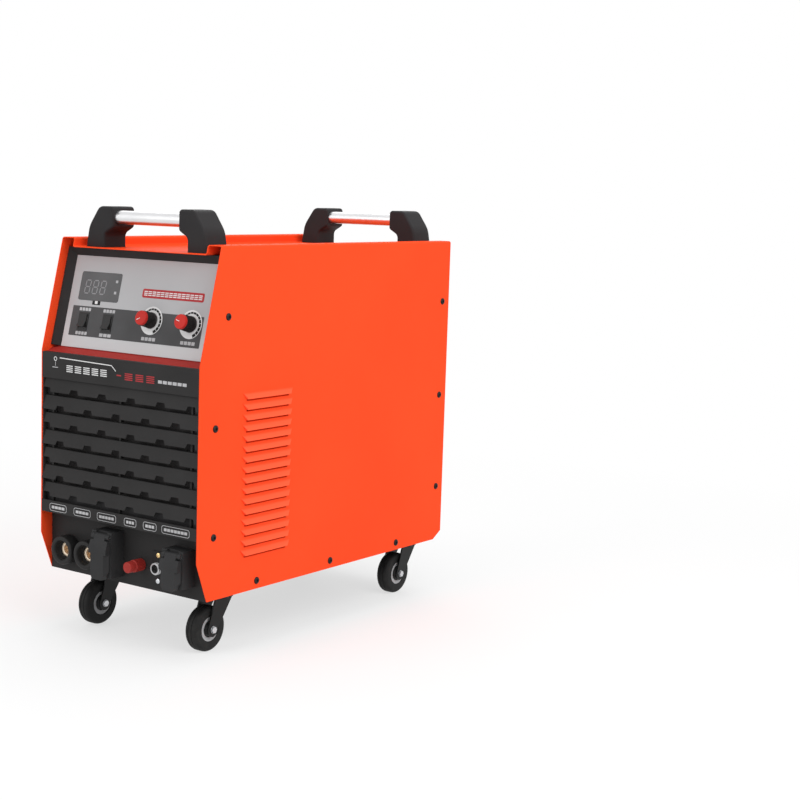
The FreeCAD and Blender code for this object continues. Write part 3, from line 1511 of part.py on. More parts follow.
# Cable gland with a hexagon and a domed nut, and the air inlet with its barbs
gland = new_body("cable_gland")
on_front(gland, "size.gland_place", "size.gland_line")
half = corners(plan_view(gland), [
    ("size.gland_bore", "place.rear_inner - size.gland_thread"),
    ("size.gland_neck", "place.rear_inner - size.gland_thread"),
    ("size.gland_neck", "place.rear_face"),
    ("size.gland_radius", "place.rear_face"),
    ("size.gland_radius", "place.rear_face + size.gland_collar"),
    ("size.gland_neck", "place.rear_face + size.gland_collar"),
    ("size.gland_neck", "place.rear_face + size.gland_length - size.gland_collar"),
    ("size.gland_bore + size.sheet", "place.rear_face + size.gland_length"),
    ("size.gland_bore", "place.rear_face + size.gland_length"),
])
turn(gland, half)
inlet = new_body("air_inlet")
on_front(inlet, "size.inlet_place", "size.inlet_line")
points = [
    ("size.inlet_bore", "place.rear_inner - size.gland_thread"),
    ("size.inlet_neck", "place.rear_inner - size.gland_thread"),
    ("size.inlet_neck", "place.rear_face"),
    ("size.inlet_radius", "place.rear_face"),
    ("size.inlet_radius", "place.rear_face + size.gland_collar"),
    ("size.inlet_barb - size.sheet", "place.rear_face + size.gland_collar"),
]
for step in range(BARBS):
    start = f"place.rear_face + size.gland_collar + {step + 1} * size.barb_pitch"
    points.append(("size.inlet_barb", start))
    points.append(("size.inlet_barb - size.sheet", f"{start} + size.seat_gap"))
inlet_end = f"place.rear_face + size.gland_collar + {BARBS + 1} * size.barb_pitch"
points.append(("size.inlet_barb - size.sheet", inlet_end))
points.append(("size.inlet_bore", inlet_end))
turn(inlet, corners(plan_view(inlet), points))


# Swivel casters: plates with their races and kingpins under the pan
plates = new_body("caster_plates")
across, deep = "size.caster_side", "size.caster_front"
square = slab(plan_view(plates, "place.plate_under"), f"{across} - size.caster_plate / 2",
              f"{deep} - size.caster_plate_deep / 2", f"{across} + size.caster_plate / 2",
              f"{deep} + size.caster_plate_deep / 2")
pad(plates, square, "size.caster_plate_wall")
soften(plates, "size.axle_head", lambda edge, middle: runs_along(edge, UP))
race = ring(plan_view(plates, "place.plate_under"), across, deep, "size.race_radius")
pad(plates, race, "size.race_height", back=True)
soften(plates, "size.fork_wall", on_circle(UP, "size.race_radius", "place.race_under"), "PartDesign::Chamfer")
king = ring(plan_view(plates, "place.race_under"), across, deep, "size.king_radius")
pad(plates, king, "place.race_under - place.king_under", back=True)
rivet = ring(plan_view(plates, "place.king_under"), across, deep, "size.king_head")
pad(plates, rivet, "size.king_cap")
corner_holes = plan_view(plates, "size.floor_height")
for side in (-1, 1):
    for end in (-1, 1):
        ring(corner_holes, f"{across} + {side} * size.caster_bolt_spread",
             f"{deep} + {end} * size.caster_bolt_deep", "size.bolt_radius")
cut(plates, corner_holes, "size.caster_plate_wall + size.race_height")
spread(plates, "size.caster_rear - size.caster_front")


# Bolts of one size hold the handle ends from below the tray and the caster plates from below the pan
bolts = new_body("frame_bolts")
tray_heads = plan_view(bolts, "place.tray_under")
tray_stems = plan_view(bolts, "place.tray_under")
for across, deep in handle_bolts():
    ring(tray_heads, across, deep, "size.bolt_head")
    ring(tray_stems, across, deep, "size.bolt_radius")
pad(bolts, tray_heads, "size.bolt_cap", back=True)
pad(bolts, tray_stems, "size.sheet + size.bolt_length")
plate_heads = plan_view(bolts, "place.plate_under")
plate_stems = plan_view(bolts, "place.plate_under")
pan_nuts = plan_view(bolts, "place.pan_top")
for across, deep in caster_bolts():
    ring(plate_heads, across, deep, "size.bolt_head")
    ring(plate_stems, across, deep, "size.bolt_radius")
    ring(pan_nuts, across, deep, "size.bolt_head")
pad(bolts, plate_heads, "size.bolt_cap", back=True)
pad(bolts, plate_stems, "size.caster_plate_wall + size.pan_sheet + size.bolt_cap")
pad(bolts, pan_nuts, "size.bolt_cap")


# Pressed fork with a dished crown and two legs, its axle, and the wheel between the legs
def caster(name, across, deep):
    fork = new_body(f"caster_fork_{name}")
    fork.setExpression("Placement.Base.x", across)
    fork.setExpression("Placement.Base.y", f"{deep} - place.middle")
    leg = corners(side_view(fork, "size.fork_inner"), [
        ("-size.fork_front", "place.crown_top"),
        ("-size.caster_trail - size.fork_eye", "place.axle_z"),
        ("-size.caster_trail + size.fork_eye", "place.axle_z"),
        ("size.fork_back", "place.crown_top"),
    ])
    leg_pad = pad(fork, leg, "size.fork_wall")
    eye = ring(side_view(fork, "size.fork_inner"), "-size.caster_trail", "place.axle_z", "size.fork_eye")
    eye_pad = pad(fork, eye, "size.fork_wall")
    mirror(fork, [leg_pad, eye_pad])
    crown = slab(plan_view(fork, "place.fork_floor"), "-place.fork_outer", "-size.fork_front",
                 "place.fork_outer", "size.fork_back")
    pad(fork, crown, "size.fork_crown")
    boss = ring(plan_view(fork, "place.fork_floor"), "0", "0", "size.fork_boss")
    pad(fork, boss, "size.fork_top - place.fork_floor")
    soften(fork, "size.fork_wall / 2", on_circle(UP, "size.fork_boss", "size.fork_top"), "PartDesign::Chamfer")
    pivot = ring(plan_view(fork, "size.fork_top"), "0", "0", "size.king_radius + size.running_gap")
    cut(fork, pivot, "size.fork_top - place.fork_floor")
    axle_hole = ring(side_view(fork), "-size.caster_trail", "place.axle_z", "size.axle_radius")
    cut(fork, axle_hole, "size.caster_plate", both=True)
    axle = new_body(f"caster_axle_{name}")
    axle.setExpression("Placement.Base.x", across)
    axle.setExpression("Placement.Base.y", f"{deep} - size.caster_trail - place.middle")
    axle.setExpression("Placement.Base.z", "place.axle_z")
    rod = ring(side_view(axle), "0", "0", "size.axle_radius")
    pad(axle, rod, "2 * place.fork_outer", both=True)
    head = ring(side_view(axle, "place.fork_outer"), "0", "0", "size.axle_head")
    cap = pad(axle, head, "size.axle_head_wall")
    mirror(axle, [cap])
    wheel = new_body(f"caster_wheel_{name}")
    wheel.setExpression("Placement.Base.x", across)
    wheel.setExpression("Placement.Base.y", f"{deep} - size.caster_trail - place.middle")
    wheel.setExpression("Placement.Base.z", "place.axle_z")
    wheel.Placement.Rotation = FreeCAD.Rotation(DEEP, 90)
    side = "size.wheel_width / 2"
    right = [
        ("size.axle_radius + size.running_gap", "size.hub_half"),
        ("size.hub_radius", "size.hub_half"),
        ("size.hub_radius", f"{side} - size.rim_drop"),
        ("size.rim_outer", f"{side} - size.rim_drop"),
        ("size.rim_outer", side),
        ("size.wheel_radius - size.tyre_round", side),
        ("size.wheel_radius - size.tyre_round / 3", f"{side} - size.tyre_round / 3"),
        ("size.wheel_radius", f"{side} - size.tyre_round"),
    ]
    left = [(radius, minus(reach)) for radius, reach in reversed(right)]
    turn(wheel, corners(front_view(wheel), right + left))


for end in ("front", "rear"):
    caster(f"{end}_left", "-size.caster_side", f"size.caster_{end}")
    caster(f"{end}_right", "size.caster_side", f"size.caster_{end}")


# Inside the cabinet: partition, cooled power stage, wound parts and the built-in compressor
partition = new_body("centre_partition")
web = slab(side_view(partition), "size.partition_front", "place.pan_top",
           "size.partition_front + size.partition_length", "place.pan_top + size.partition_height")
pad(partition, web, "size.partition_wall", both=True)
ledge = slab(front_view(partition, "size.partition_front"), "-size.fold", "place.pan_top", "size.fold",
             "place.pan_top + size.partition_wall")
pad(partition, ledge, "size.partition_length", back=True)
sink = new_body("heatsink")
base = slab(plan_view(sink, "size.sink_foot"), "size.partition_wall / 2", "size.sink_front",
            "size.partition_wall / 2 + size.sink_base", "size.sink_front + size.sink_length")
pad(sink, base, "size.sink_height")
fin = slab(side_view(sink, "size.partition_wall / 2 + size.sink_base"), "size.sink_front", "size.sink_foot",
           "size.sink_front + size.sink_length", "size.sink_foot + size.sink_fin")
blade = pad(sink, fin, "size.sink_reach")
row(sink, [blade], "Z_Axis", "(size.sink_height - size.sink_fin) / (size.sink_fins - 1)", "size.sink_fins")
power = new_body("power_board")
card = slab(side_view(power, "-size.partition_wall / 2 - size.power_gap"), "size.sink_front", "size.sink_foot",
            "size.sink_front + size.sink_length", "size.sink_foot + size.power_height")
pad(power, card, "size.power_wall", back=True)
stubs = side_view(power, "-size.partition_wall / 2")
for along in ("size.sink_front + size.fold", "size.sink_front + size.sink_length - size.fold"):
    for up in ("size.sink_foot + size.fold", "size.sink_foot + size.power_height - size.fold"):
        ring(stubs, along, up, "size.post_radius")
pad(power, stubs, "size.power_gap", back=True)
cans = side_view(power, "-size.partition_wall / 2 - size.power_gap - size.power_wall")
for step in range(CAPACITORS):
    ring(cans, f"size.sink_front + size.can_first + {step} * size.can_pitch",
         "size.sink_foot + size.power_height / 2", "size.can_radius")
pad(power, cans, "size.can_height", back=True)
core = new_body("main_transformer")
on_front(core, "size.core_place", "place.pan_top")
stack = slab(front_view(core, "size.core_front"), "-size.core_width / 2", "0", "size.core_width / 2",
             "size.core_height")
pad(core, stack, "size.core_depth", back=True)
winding = slab(front_view(core, "size.core_front - size.coil_wall"), "-size.core_window",
               "size.coil_wall", "size.core_window", "size.core_height - size.coil_wall")
pad(core, winding, "size.core_depth + 2 * size.coil_wall", back=True)
choke = new_body("output_choke")
on_front(choke, "size.core_place", "place.pan_top")
choke.setExpression("Placement.Base.y", "size.choke_front - place.middle")
washer = corners(front_view(choke), [
    ("size.choke_core", "0"),
    ("size.choke_radius", "0"),
    ("size.choke_radius", "size.choke_height"),
    ("size.choke_core", "size.choke_height"),
])
turn(choke, washer)
pump = new_body("air_compressor")
on_front(pump, "size.pump_place", "0")
barrel = ring(front_view(pump, "size.pump_front"), "0", "size.pump_axis", "size.pump_radius")
pad(pump, barrel, "size.pump_length", back=True)
feet = slab(front_view(pump, "size.pump_front + size.fold"), "-size.pump_radius", "place.pan_top",
            "size.pump_radius", "size.pump_axis - size.pump_radius / 2")
foot = pad(pump, feet, "size.fold", back=True)
row(pump, [foot], "Y_Axis", "size.pump_length - 3 * size.fold", "2")
cylinder = ring(plan_view(pump, "size.pump_axis"), "0", "size.pump_front + size.pump_length / 2",
                "size.pump_radius / 2")
pad(pump, cylinder, "size.pump_radius * 2")


# Every feature is checked before any file is written
document.recompute()
for item in document.Objects:
    if "Invalid" in item.State or "Error" in item.State:
        raise RuntimeError(f"{item.Label} failed: {item.State}")
subparts = [item for item in document.Objects if item.TypeId == "PartDesign::Body"]
for item in subparts:
    if item.Shape.isNull() or not item.Shape.isValid():
        raise RuntimeError(f"{item.Label} has no sound shape")
for item in subparts:
    item.Shape.exportStep(f"parts/{item.Label}.step")
print(len(subparts), "sub-parts written")
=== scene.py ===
import bpy
import json
import math
from mathutils import Matrix, Vector

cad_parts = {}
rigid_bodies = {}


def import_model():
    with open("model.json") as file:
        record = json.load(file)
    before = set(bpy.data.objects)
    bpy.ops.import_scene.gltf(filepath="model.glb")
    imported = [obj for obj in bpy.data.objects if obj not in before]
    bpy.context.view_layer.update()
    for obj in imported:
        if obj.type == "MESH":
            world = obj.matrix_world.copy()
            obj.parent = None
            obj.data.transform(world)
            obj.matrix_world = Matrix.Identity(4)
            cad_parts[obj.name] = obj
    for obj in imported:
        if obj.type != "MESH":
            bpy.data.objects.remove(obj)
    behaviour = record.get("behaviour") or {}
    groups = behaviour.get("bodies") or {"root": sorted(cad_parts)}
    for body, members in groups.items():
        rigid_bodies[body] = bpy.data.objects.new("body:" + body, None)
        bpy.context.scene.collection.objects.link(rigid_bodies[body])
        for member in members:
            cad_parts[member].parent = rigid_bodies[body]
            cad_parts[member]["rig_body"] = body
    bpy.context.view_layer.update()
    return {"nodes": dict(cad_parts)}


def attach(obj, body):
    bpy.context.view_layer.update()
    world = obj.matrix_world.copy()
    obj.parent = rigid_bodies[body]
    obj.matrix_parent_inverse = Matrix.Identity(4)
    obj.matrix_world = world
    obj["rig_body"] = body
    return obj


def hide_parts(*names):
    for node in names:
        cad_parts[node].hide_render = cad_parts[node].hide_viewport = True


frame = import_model()
nodes = frame["nodes"]

scene = bpy.context.scene
scene.view_settings.view_transform = "Standard"

# the front's bend and the back's face in metres, and the lean of the control panel
kneeBack, kneeHigh, rearFace = -0.3445, 0.471, 0.3385
leanSine, leanCosine = 0.241301, 0.970451


# a face to draw on: across it, up it, out of it, and how far back and high it starts
def faceOf(across, along, out, back, high=0):
    return Matrix.Translation((0, back, high)) @ Matrix((across, along, out)).transposed().to_4x4()


panelPlane = faceOf((1, 0, 0), (0, leanSine, leanCosine), (0, -leanCosine, leanSine), kneeBack, kneeHigh)
frontPlane = faceOf((1, 0, 0), (0, 0, 1), (0, -1, 0), kneeBack)
rearPlane = faceOf((-1, 0, 0), (0, 0, 1), (0, 1, 0), rearFace)
rightPlane = faceOf((0, 1, 0), (0, 0, 1), (1, 0, 0), kneeBack)
leftPlane = faceOf((0, -1, 0), (0, 0, 1), (-1, 0, 0), kneeBack)


def rest():
    if bpy.context.mode != "OBJECT":
        bpy.ops.object.mode_set(mode="OBJECT")
    bpy.ops.object.select_all(action="DESELECT")


def pick(piece):
    rest()
    piece.select_set(True)
    bpy.context.view_layer.objects.active = piece


def edit(piece):
    pick(piece)
    bpy.ops.object.mode_set(mode="EDIT")
    bpy.ops.mesh.select_all(action="DESELECT")


def applyAll(piece):
    pick(piece)
    for modifier in list(piece.modifiers):
        bpy.ops.object.modifier_apply(modifier=modifier.name)


# puts a piece's place into its mesh
def placed(piece, spot=None):
    if spot is not None:
        piece.matrix_world = spot
    pick(piece)
    bpy.ops.object.transform_apply(location=True, rotation=True, scale=True)
    return piece


def smoothed(piece, sharp=30):
    pick(piece)
    bpy.ops.object.shade_smooth_by_angle(angle=math.radians(sharp))
    return piece


# the last step of every piece: its finish, its body and the node that it stands for
def settle(piece, finish, body, replaced=()):
    placed(piece)
    piece.data.materials.clear()
    piece.data.materials.append(finishes[finish])
    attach(piece, body)
    if replaced:
        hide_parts(*replaced)
    return piece


# a mesh from loops of points in millimetres: filled and thick, or one open line
def drawn(name, loops, thickness=0):
    rest()
    curve = bpy.data.curves.new(name, "CURVE")
    curve.dimensions = "2D" if thickness else "3D"
    if thickness:
        curve.fill_mode, curve.extrude = "BOTH", thickness / 2000
    for loop in loops:
        spline = curve.splines.new("POLY")
        spline.points.add(len(loop) - 1)
        for point, (across, along, out) in zip(spline.points, loop):
            point.co = (across / 1000, along / 1000, out / 1000, 1)
        spline.use_cyclic_u = bool(thickness)
    piece = bpy.data.objects.new(name, curve)
    bpy.context.collection.objects.link(piece)
    pick(piece)
    bpy.ops.object.convert(target="MESH")
    return bpy.context.object


# a flat film or plate with any outline, lengths in millimetres on its plane
def film(name, loops, plane, depth, thickness, finish, body="cabinet"):
    piece = drawn(name, [[(across, along, 0) for across, along in loop] for loop in loops], thickness)
    edit(piece)
    bpy.ops.mesh.select_all(action="SELECT")
    bpy.ops.mesh.remove_doubles(threshold=0.000002)
    rest()
    piece.matrix_world = plane @ Matrix.Translation((0, 0, (depth + thickness / 2) / 1000))
    return settle(piece, finish, body)


def box(left, low, right, high, corner=0.0, steps=5):
    if not corner:
        return [(left, low), (right, low), (right, high), (left, high)]
    loop = []
    for across, along, start in ((right, high, 0), (left, high, 90), (left, low, 180), (right, low, 270)):
        across += corner if across == left else -corner
        along += corner if along == low else -corner
        for step in range(steps + 1):
            angle = math.radians(start + 90 * step / steps)
            loop.append((across + corner * math.cos(angle), along + corner * math.sin(angle)))
    return loop


def disc(across, along, radius, steps=56):
    turns = [2 * math.pi * step / steps for step in range(steps)]
    return [(across + radius * math.cos(turn), along + radius * math.sin(turn)) for turn in turns]


# an arc that grows from thin to thick
def horn(across, along, start, stop, inner, thin, thick, steps=6):
    outside, inside = [], []
    for step in range(steps + 1):
        turn = math.radians(start + (stop - start) * step / steps)
        outer = inner + thin + (thick - thin) * step / steps
        outside.append((across + outer * math.cos(turn), along + outer * math.sin(turn)))
        inside.append((across + inner * math.cos(turn), along + inner * math.sin(turn)))
    return outside + inside[::-1]


# the left ends and the width of marks that share a line
def shared(left, right, count, gap):
    wide = (right - left - gap * (count - 1)) / count
    return [left + spot * (wide + gap) for spot in range(count)], wide


# rows of short bars, which stand for lines of small print
def barred(left, right, along, height, count, gap, bars=3, share=0.5):
    starts, wide = shared(left, right, count, gap)
    pitch = height / (bars - 1 + share)
    lows = [along - height / 2 + pitch * bar for bar in range(bars)]
    return [box(start, low, start + wide, low + pitch * share) for start in starts for low in lows]


def dashes(left, right, along, height, count, gap):
    starts, wide = shared(left, right, count, gap)
    return [box(start, along - height / 2, start + wide, along + height / 2, 0.5, 2) for start in starts]


def easeEdges(piece, width, sharp=32):
    pick(piece)
    modifier = piece.modifiers.new("ease", "BEVEL")
    modifier.width, modifier.segments, modifier.limit_method = width / 1000, 2, "ANGLE"
    modifier.angle_limit, modifier.use_clamp_overlap = math.radians(sharp), True
    modifier.harden_normals = False
    applyAll(piece)


# a piece turned from its half outline of (radius, height) in millimetres, standing on Z at the origin
def turned(name, outline, steps=64, ease=0.0, sharp=32):
    piece = drawn(name, [[(radius, 0, height) for radius, height in outline]])
    edit(piece)
    bpy.ops.mesh.select_all(action="SELECT")
    bpy.ops.mesh.spin(steps=steps, angle=2 * math.pi, center=(0, 0, 0), axis=(0, 0, 1))
    bpy.ops.mesh.select_all(action="SELECT")
    bpy.ops.mesh.remove_doubles(threshold=0.000005)
    bpy.ops.mesh.delete_loose()
    bpy.ops.mesh.select_all(action="SELECT")
    bpy.ops.mesh.normals_make_consistent(inside=False)
    rest()
    if ease:
        easeEdges(piece, ease, sharp)
    return smoothed(piece, sharp)


# draws every second column of a turned piece in towards its axis
def ribs(piece, count, share, low, high, sharp):
    edit(piece)
    bpy.ops.object.mode_set(mode="OBJECT")
    half = math.pi / count
    for point in piece.data.vertices:
        column = round(math.atan2(point.co.y, point.co.x) / half)
        level = low / 1000 <= point.co.z <= high / 1000
        point.select = level and column % 2 == 1 and point.co.xy.length > 0.001
    bpy.ops.object.mode_set(mode="EDIT")
    bpy.ops.transform.resize(value=(share, share, 1), center_override=(0, 0, 0))
    smoothed(piece, sharp)


# stands a piece on a face, lengths in millimetres
def stand(piece, plane, across, along, depth, spin=0.0):
    spot = plane @ Matrix.Translation((across / 1000, along / 1000, depth / 1000))
    return placed(piece, spot @ Matrix.Rotation(math.radians(spin), 4, "Z"))


def twin(piece, name):
    copy = bpy.data.objects.new(name, piece.data.copy())
    bpy.context.collection.objects.link(copy)
    return copy


def together(pieces, name):
    rest()
    for piece in pieces:
        piece.select_set(True)
    bpy.context.view_layer.objects.active = pieces[0]
    bpy.ops.object.join()
    pieces[0].name = name
    return pieces[0]


def prism(sides, radius, low, high):
    rest()
    bpy.ops.mesh.primitive_cylinder_add(vertices=sides, radius=radius / 1000, depth=(high - low) / 1000,
                                        location=(0, 0, (high + low) / 2000))
    return placed(bpy.context.object)


def minusShape(piece, tool):
    pick(piece)
    modifier = piece.modifiers.new("cut", "BOOLEAN")
    modifier.operation, modifier.object, modifier.solver = "DIFFERENCE", tool, "EXACT"
    applyAll(piece)
    bpy.data.objects.remove(tool)
    return piece


# cuts a straight slot, its middle and sides in millimetres
def slotted(piece, middle, sides):
    rest()
    bpy.ops.mesh.primitive_cube_add(size=1, location=[length / 1000 for length in middle],
                                    scale=[length / 1000 for length in sides])
    return smoothed(minusShape(piece, placed(bpy.context.object)))


# the four casters, in millimetres from the middle and from the floor
caster = {"end": {"front": -262.5, "rear": 265.5}, "side": {"left": -122, "right": 122}, "high": 37.5}
corners = [(end, side) for end in caster["end"] for side in caster["side"]]


def casterSpot(end, side, turn):
    spot = [length / 1000 for length in (caster["side"][side], caster["end"][end], caster["high"])]
    return Matrix.Translation(spot) @ Matrix.Rotation(math.radians(turn), 4, "Y")


# shader maths written as expressions
class Wire:
    def __init__(self, graph, socket):
        self.graph, self.socket = graph, socket

    def __add__(self, other):
        return self.graph.math("ADD", self, other)

    def __radd__(self, other):
        return self.graph.math("ADD", other, self)

    def __sub__(self, other):
        return self.graph.math("SUBTRACT", self, other)

    def __mul__(self, other):
        return self.graph.math("MULTIPLY", self, other)

    def __rmul__(self, other):
        return self.graph.math("MULTIPLY", other, self)

    def __gt__(self, other):
        return self.graph.math("GREATER_THAN", self, other)

    def __lt__(self, other):
        return self.graph.math("LESS_THAN", self, other)


class Graph:
    def __init__(self, tree):
        self.tree = tree
        tree.nodes.clear()

    def feed(self, socket, value):
        if isinstance(value, Wire):
            self.tree.links.new(value.socket, socket)
        else:
            socket.default_value = value

    def add(self, kind, settings, values, output=0):
        node = self.tree.nodes.new(kind)
        for name, value in settings.items():
            setattr(node, name, value)
        for name, value in values.items():
            self.feed(node.inputs[name], value)
        return Wire(self, node.outputs[output])

    def math(self, operation, *values):
        return self.add("ShaderNodeMath", {"operation": operation}, dict(enumerate(values)))

    # 1 where the camera looks, straight or by way of a shiny or clear surface
    def watched(self):
        straight, glossy, through = (self.add("ShaderNodeLightPath", {}, {}, f"Is {kind} Ray")
                                     for kind in ("Camera", "Glossy", "Transmission"))
        return self.math("MAXIMUM", straight, self.math("MAXIMUM", glossy, through))


class Paint(Graph):
    def __init__(self, name):
        self.material = bpy.data.materials.new(name)
        self.material.use_nodes = True
        super().__init__(self.material.node_tree)
        self.shader = self.tree.nodes.new("ShaderNodeBsdfPrincipled")
        self.surface = self.tree.nodes.new("ShaderNodeOutputMaterial").inputs[0]
        self.tree.links.new(self.shader.outputs[0], self.surface)
        self.place = self.add("ShaderNodeTexCoord", {}, {}, "Object")

    def axis(self, letter):
        return self.add("ShaderNodeSeparateXYZ", {}, {0: self.place}, letter)

    def aside(self):
        return self.math("ABSOLUTE", self.axis("X"))

    def stretched(self, scale):
        return self.add("ShaderNodeMapping", {}, {"Vector": self.place, "Scale": scale})

    def noise(self, scale, detail=2, place=None):
        values = {"Vector": place or self.place, "Scale": scale, "Detail": detail}
        return self.add("ShaderNodeTexNoise", {}, values)

    def spread(self, value, low, high):
        return self.add("ShaderNodeMapRange", {}, {"Value": value, "From Min": low, "From Max": high})

    def mix(self, factor, first, second):
        return self.add("ShaderNodeMix", {"data_type": "RGBA"}, {0: factor, 6: first, 7: second}, 2)

    def set(self, **values):
        for name, value in values.items():
            self.feed(self.shader.inputs[name.replace("_", " ")], value)

    def bump(self, height, strength, distance):
        values = {"Height": height, "Strength": strength, "Distance": distance}
        self.set(Normal=self.add("ShaderNodeBump", {}, values))


def shade(colour, by=1):
    return (colour[0] * by, colour[1] * by, colour[2] * by, 1)


# where a painted surface changes, in metres, with the panel's lean as a slope
coatEnds = {"hoodFoot": 0.1752, "hoodTop": 0.177, "innerWall": 0.1737, "innerTop": 0.6403, "lean": 0.2487,
            "behindGrille": 0.034, "panelPale": 0.476, "panelDull": 0.545, "ledge": (0.4665, 0.4775)}


# the cover's inside is painted near black behind the control panel and the grille, as painted shade
def paintedShadeInside(paint):
    inside = (paint.aside() < coatEnds["innerWall"]) * (paint.axis("Z") < coatEnds["innerTop"])
    lean = paint.math("MAXIMUM", paint.axis("Z") - kneeHigh, 0.0) * coatEnds["lean"]
    return inside * (paint.axis("Y") - lean > kneeBack + coatEnds["behindGrille"])


def lowPanel(paint):
    return paint.spread(paint.axis("Z"), coatEnds["panelDull"], coatEnds["panelPale"])


# the ledge under the fascia: the sheet's orange, darkened to a muted red as painted shade
def shadedLedgeBand(paint):
    low, high = coatEnds["ledge"]
    return (paint.axis("Z") > low) * (paint.axis("Z") < high)


# sprayed powder with a fine peel; `other` takes over where the mask says, and the hood faces get a lighter
# colour as a painted highlight
def powderCoat(name, colour, roughness=0.5, coat=0.04, shine=0.12, other=None, where=None, hoodHighlight=None):
    paint = Paint(name)
    cloud = paint.spread(paint.noise(4.5, 3), 0.35, 0.65)
    peel, speck = paint.noise(620), paint.noise(2600, 1)
    base = paint.mix(cloud, shade(colour, 0.95), shade(colour, 1.03))
    if hoodHighlight:
        outwards = paint.spread(paint.aside(), coatEnds["hoodFoot"], coatEnds["hoodTop"])
        base = paint.mix(outwards, base, shade(hoodHighlight))
    if other:
        base = paint.mix(where(paint), base, shade(other))
    paint.set(Base_Color=base, Roughness=roughness + 0.08 * speck, Specular_IOR_Level=shine)
    paint.set(Coat_Weight=coat, Coat_Roughness=0.18)
    paint.bump(peel + 0.35 * speck, 0.16, 0.0004)
    return paint.material


def moulded(name, colour, roughness=0.5, grain=1500, depth=0.0003, coat=0.0, shine=0.16):
    paint = Paint(name)
    texture = paint.add("ShaderNodeTexVoronoi", {}, {"Vector": paint.place, "Scale": grain}, "Distance")
    cloud = paint.spread(paint.noise(14, 3), 0.3, 0.7)
    base = paint.mix(cloud, shade(colour, 0.86), shade(colour, 1.12))
    paint.set(Base_Color=base, Roughness=roughness + 0.1 * texture)
    paint.set(Specular_IOR_Level=shine, Coat_Weight=coat)
    paint.bump(texture, 0.3, depth)
    return paint.material


def ink(name, colour, roughness=0.5):
    return moulded(name, colour, roughness, grain=2200, depth=0.00004)


def plated(name, colour, roughness=0.22, stretch=(40, 40, 1200)):
    paint = Paint(name)
    lines = paint.noise(1, 3, paint.stretched(stretch))
    cloud = paint.noise(22, 3)
    base = paint.mix(cloud, shade(colour, 0.9), shade(colour, 1.06))
    paint.set(Base_Color=base, Metallic=1.0, Roughness=roughness + 0.12 * lines * cloud)
    paint.bump(lines, 0.25, 0.00004)
    return paint.material


def tyreRubber(name):
    paint = Paint(name)
    dust = paint.spread(paint.noise(60, 4), 0.5, 0.8)
    base = paint.mix(dust * 0.5, (0.012, 0.012, 0.012, 1), (0.05, 0.048, 0.045, 1))
    paint.set(Base_Color=base, Roughness=0.62 + 0.2 * dust, Specular_IOR_Level=0.2)
    paint.bump(paint.noise(1800), 0.25, 0.0004)
    return paint.material


# a pale ring round a dark middle, on any of the four wheels
def wheelCentre(name, ring, middle, radius):
    paint = Paint(name)
    front, rear = caster["end"]["front"] / 1000, caster["end"]["rear"] / 1000
    fromAxle = paint.math("ABSOLUTE", paint.axis("Y") - (front + rear) / 2) - (rear - front) / 2
    rise = paint.axis("Z") - caster["high"] / 1000
    outside = fromAxle * fromAxle + rise * rise > (radius / 1000) ** 2
    grain = paint.noise(900)
    paint.set(Base_Color=paint.mix(outside, shade(middle), shade(ring)), Roughness=0.4 + 0.1 * grain)
    paint.set(Specular_IOR_Level=0.2)
    paint.bump(grain, 0.2, 0.0002)
    return paint.material


def circuitBoard(name):
    paint = Paint(name)
    values = {"Vector": paint.place, "Scale": 90, "Color1": (0.01, 0.1, 0.03, 1),
              "Color2": (0.015, 0.16, 0.05, 1), "Mortar": (0.02, 0.22, 0.08, 1)}
    tracks = paint.add("ShaderNodeTexBrick", {}, values)
    paint.set(Base_Color=tracks, Roughness=0.35 + 0.1 * paint.noise(300))
    return paint.material


def wound(name):
    paint = Paint(name)
    layers = paint.add("ShaderNodeTexWave", {"bands_direction": "Z"}, {"Vector": paint.place, "Scale": 160})
    base = paint.mix(layers, (0.03, 0.026, 0.02, 1), (0.16, 0.12, 0.07, 1))
    paint.set(Base_Color=base, Roughness=0.45 + 0.1 * layers)
    paint.bump(layers, 0.5, 0.0006)
    return paint.material


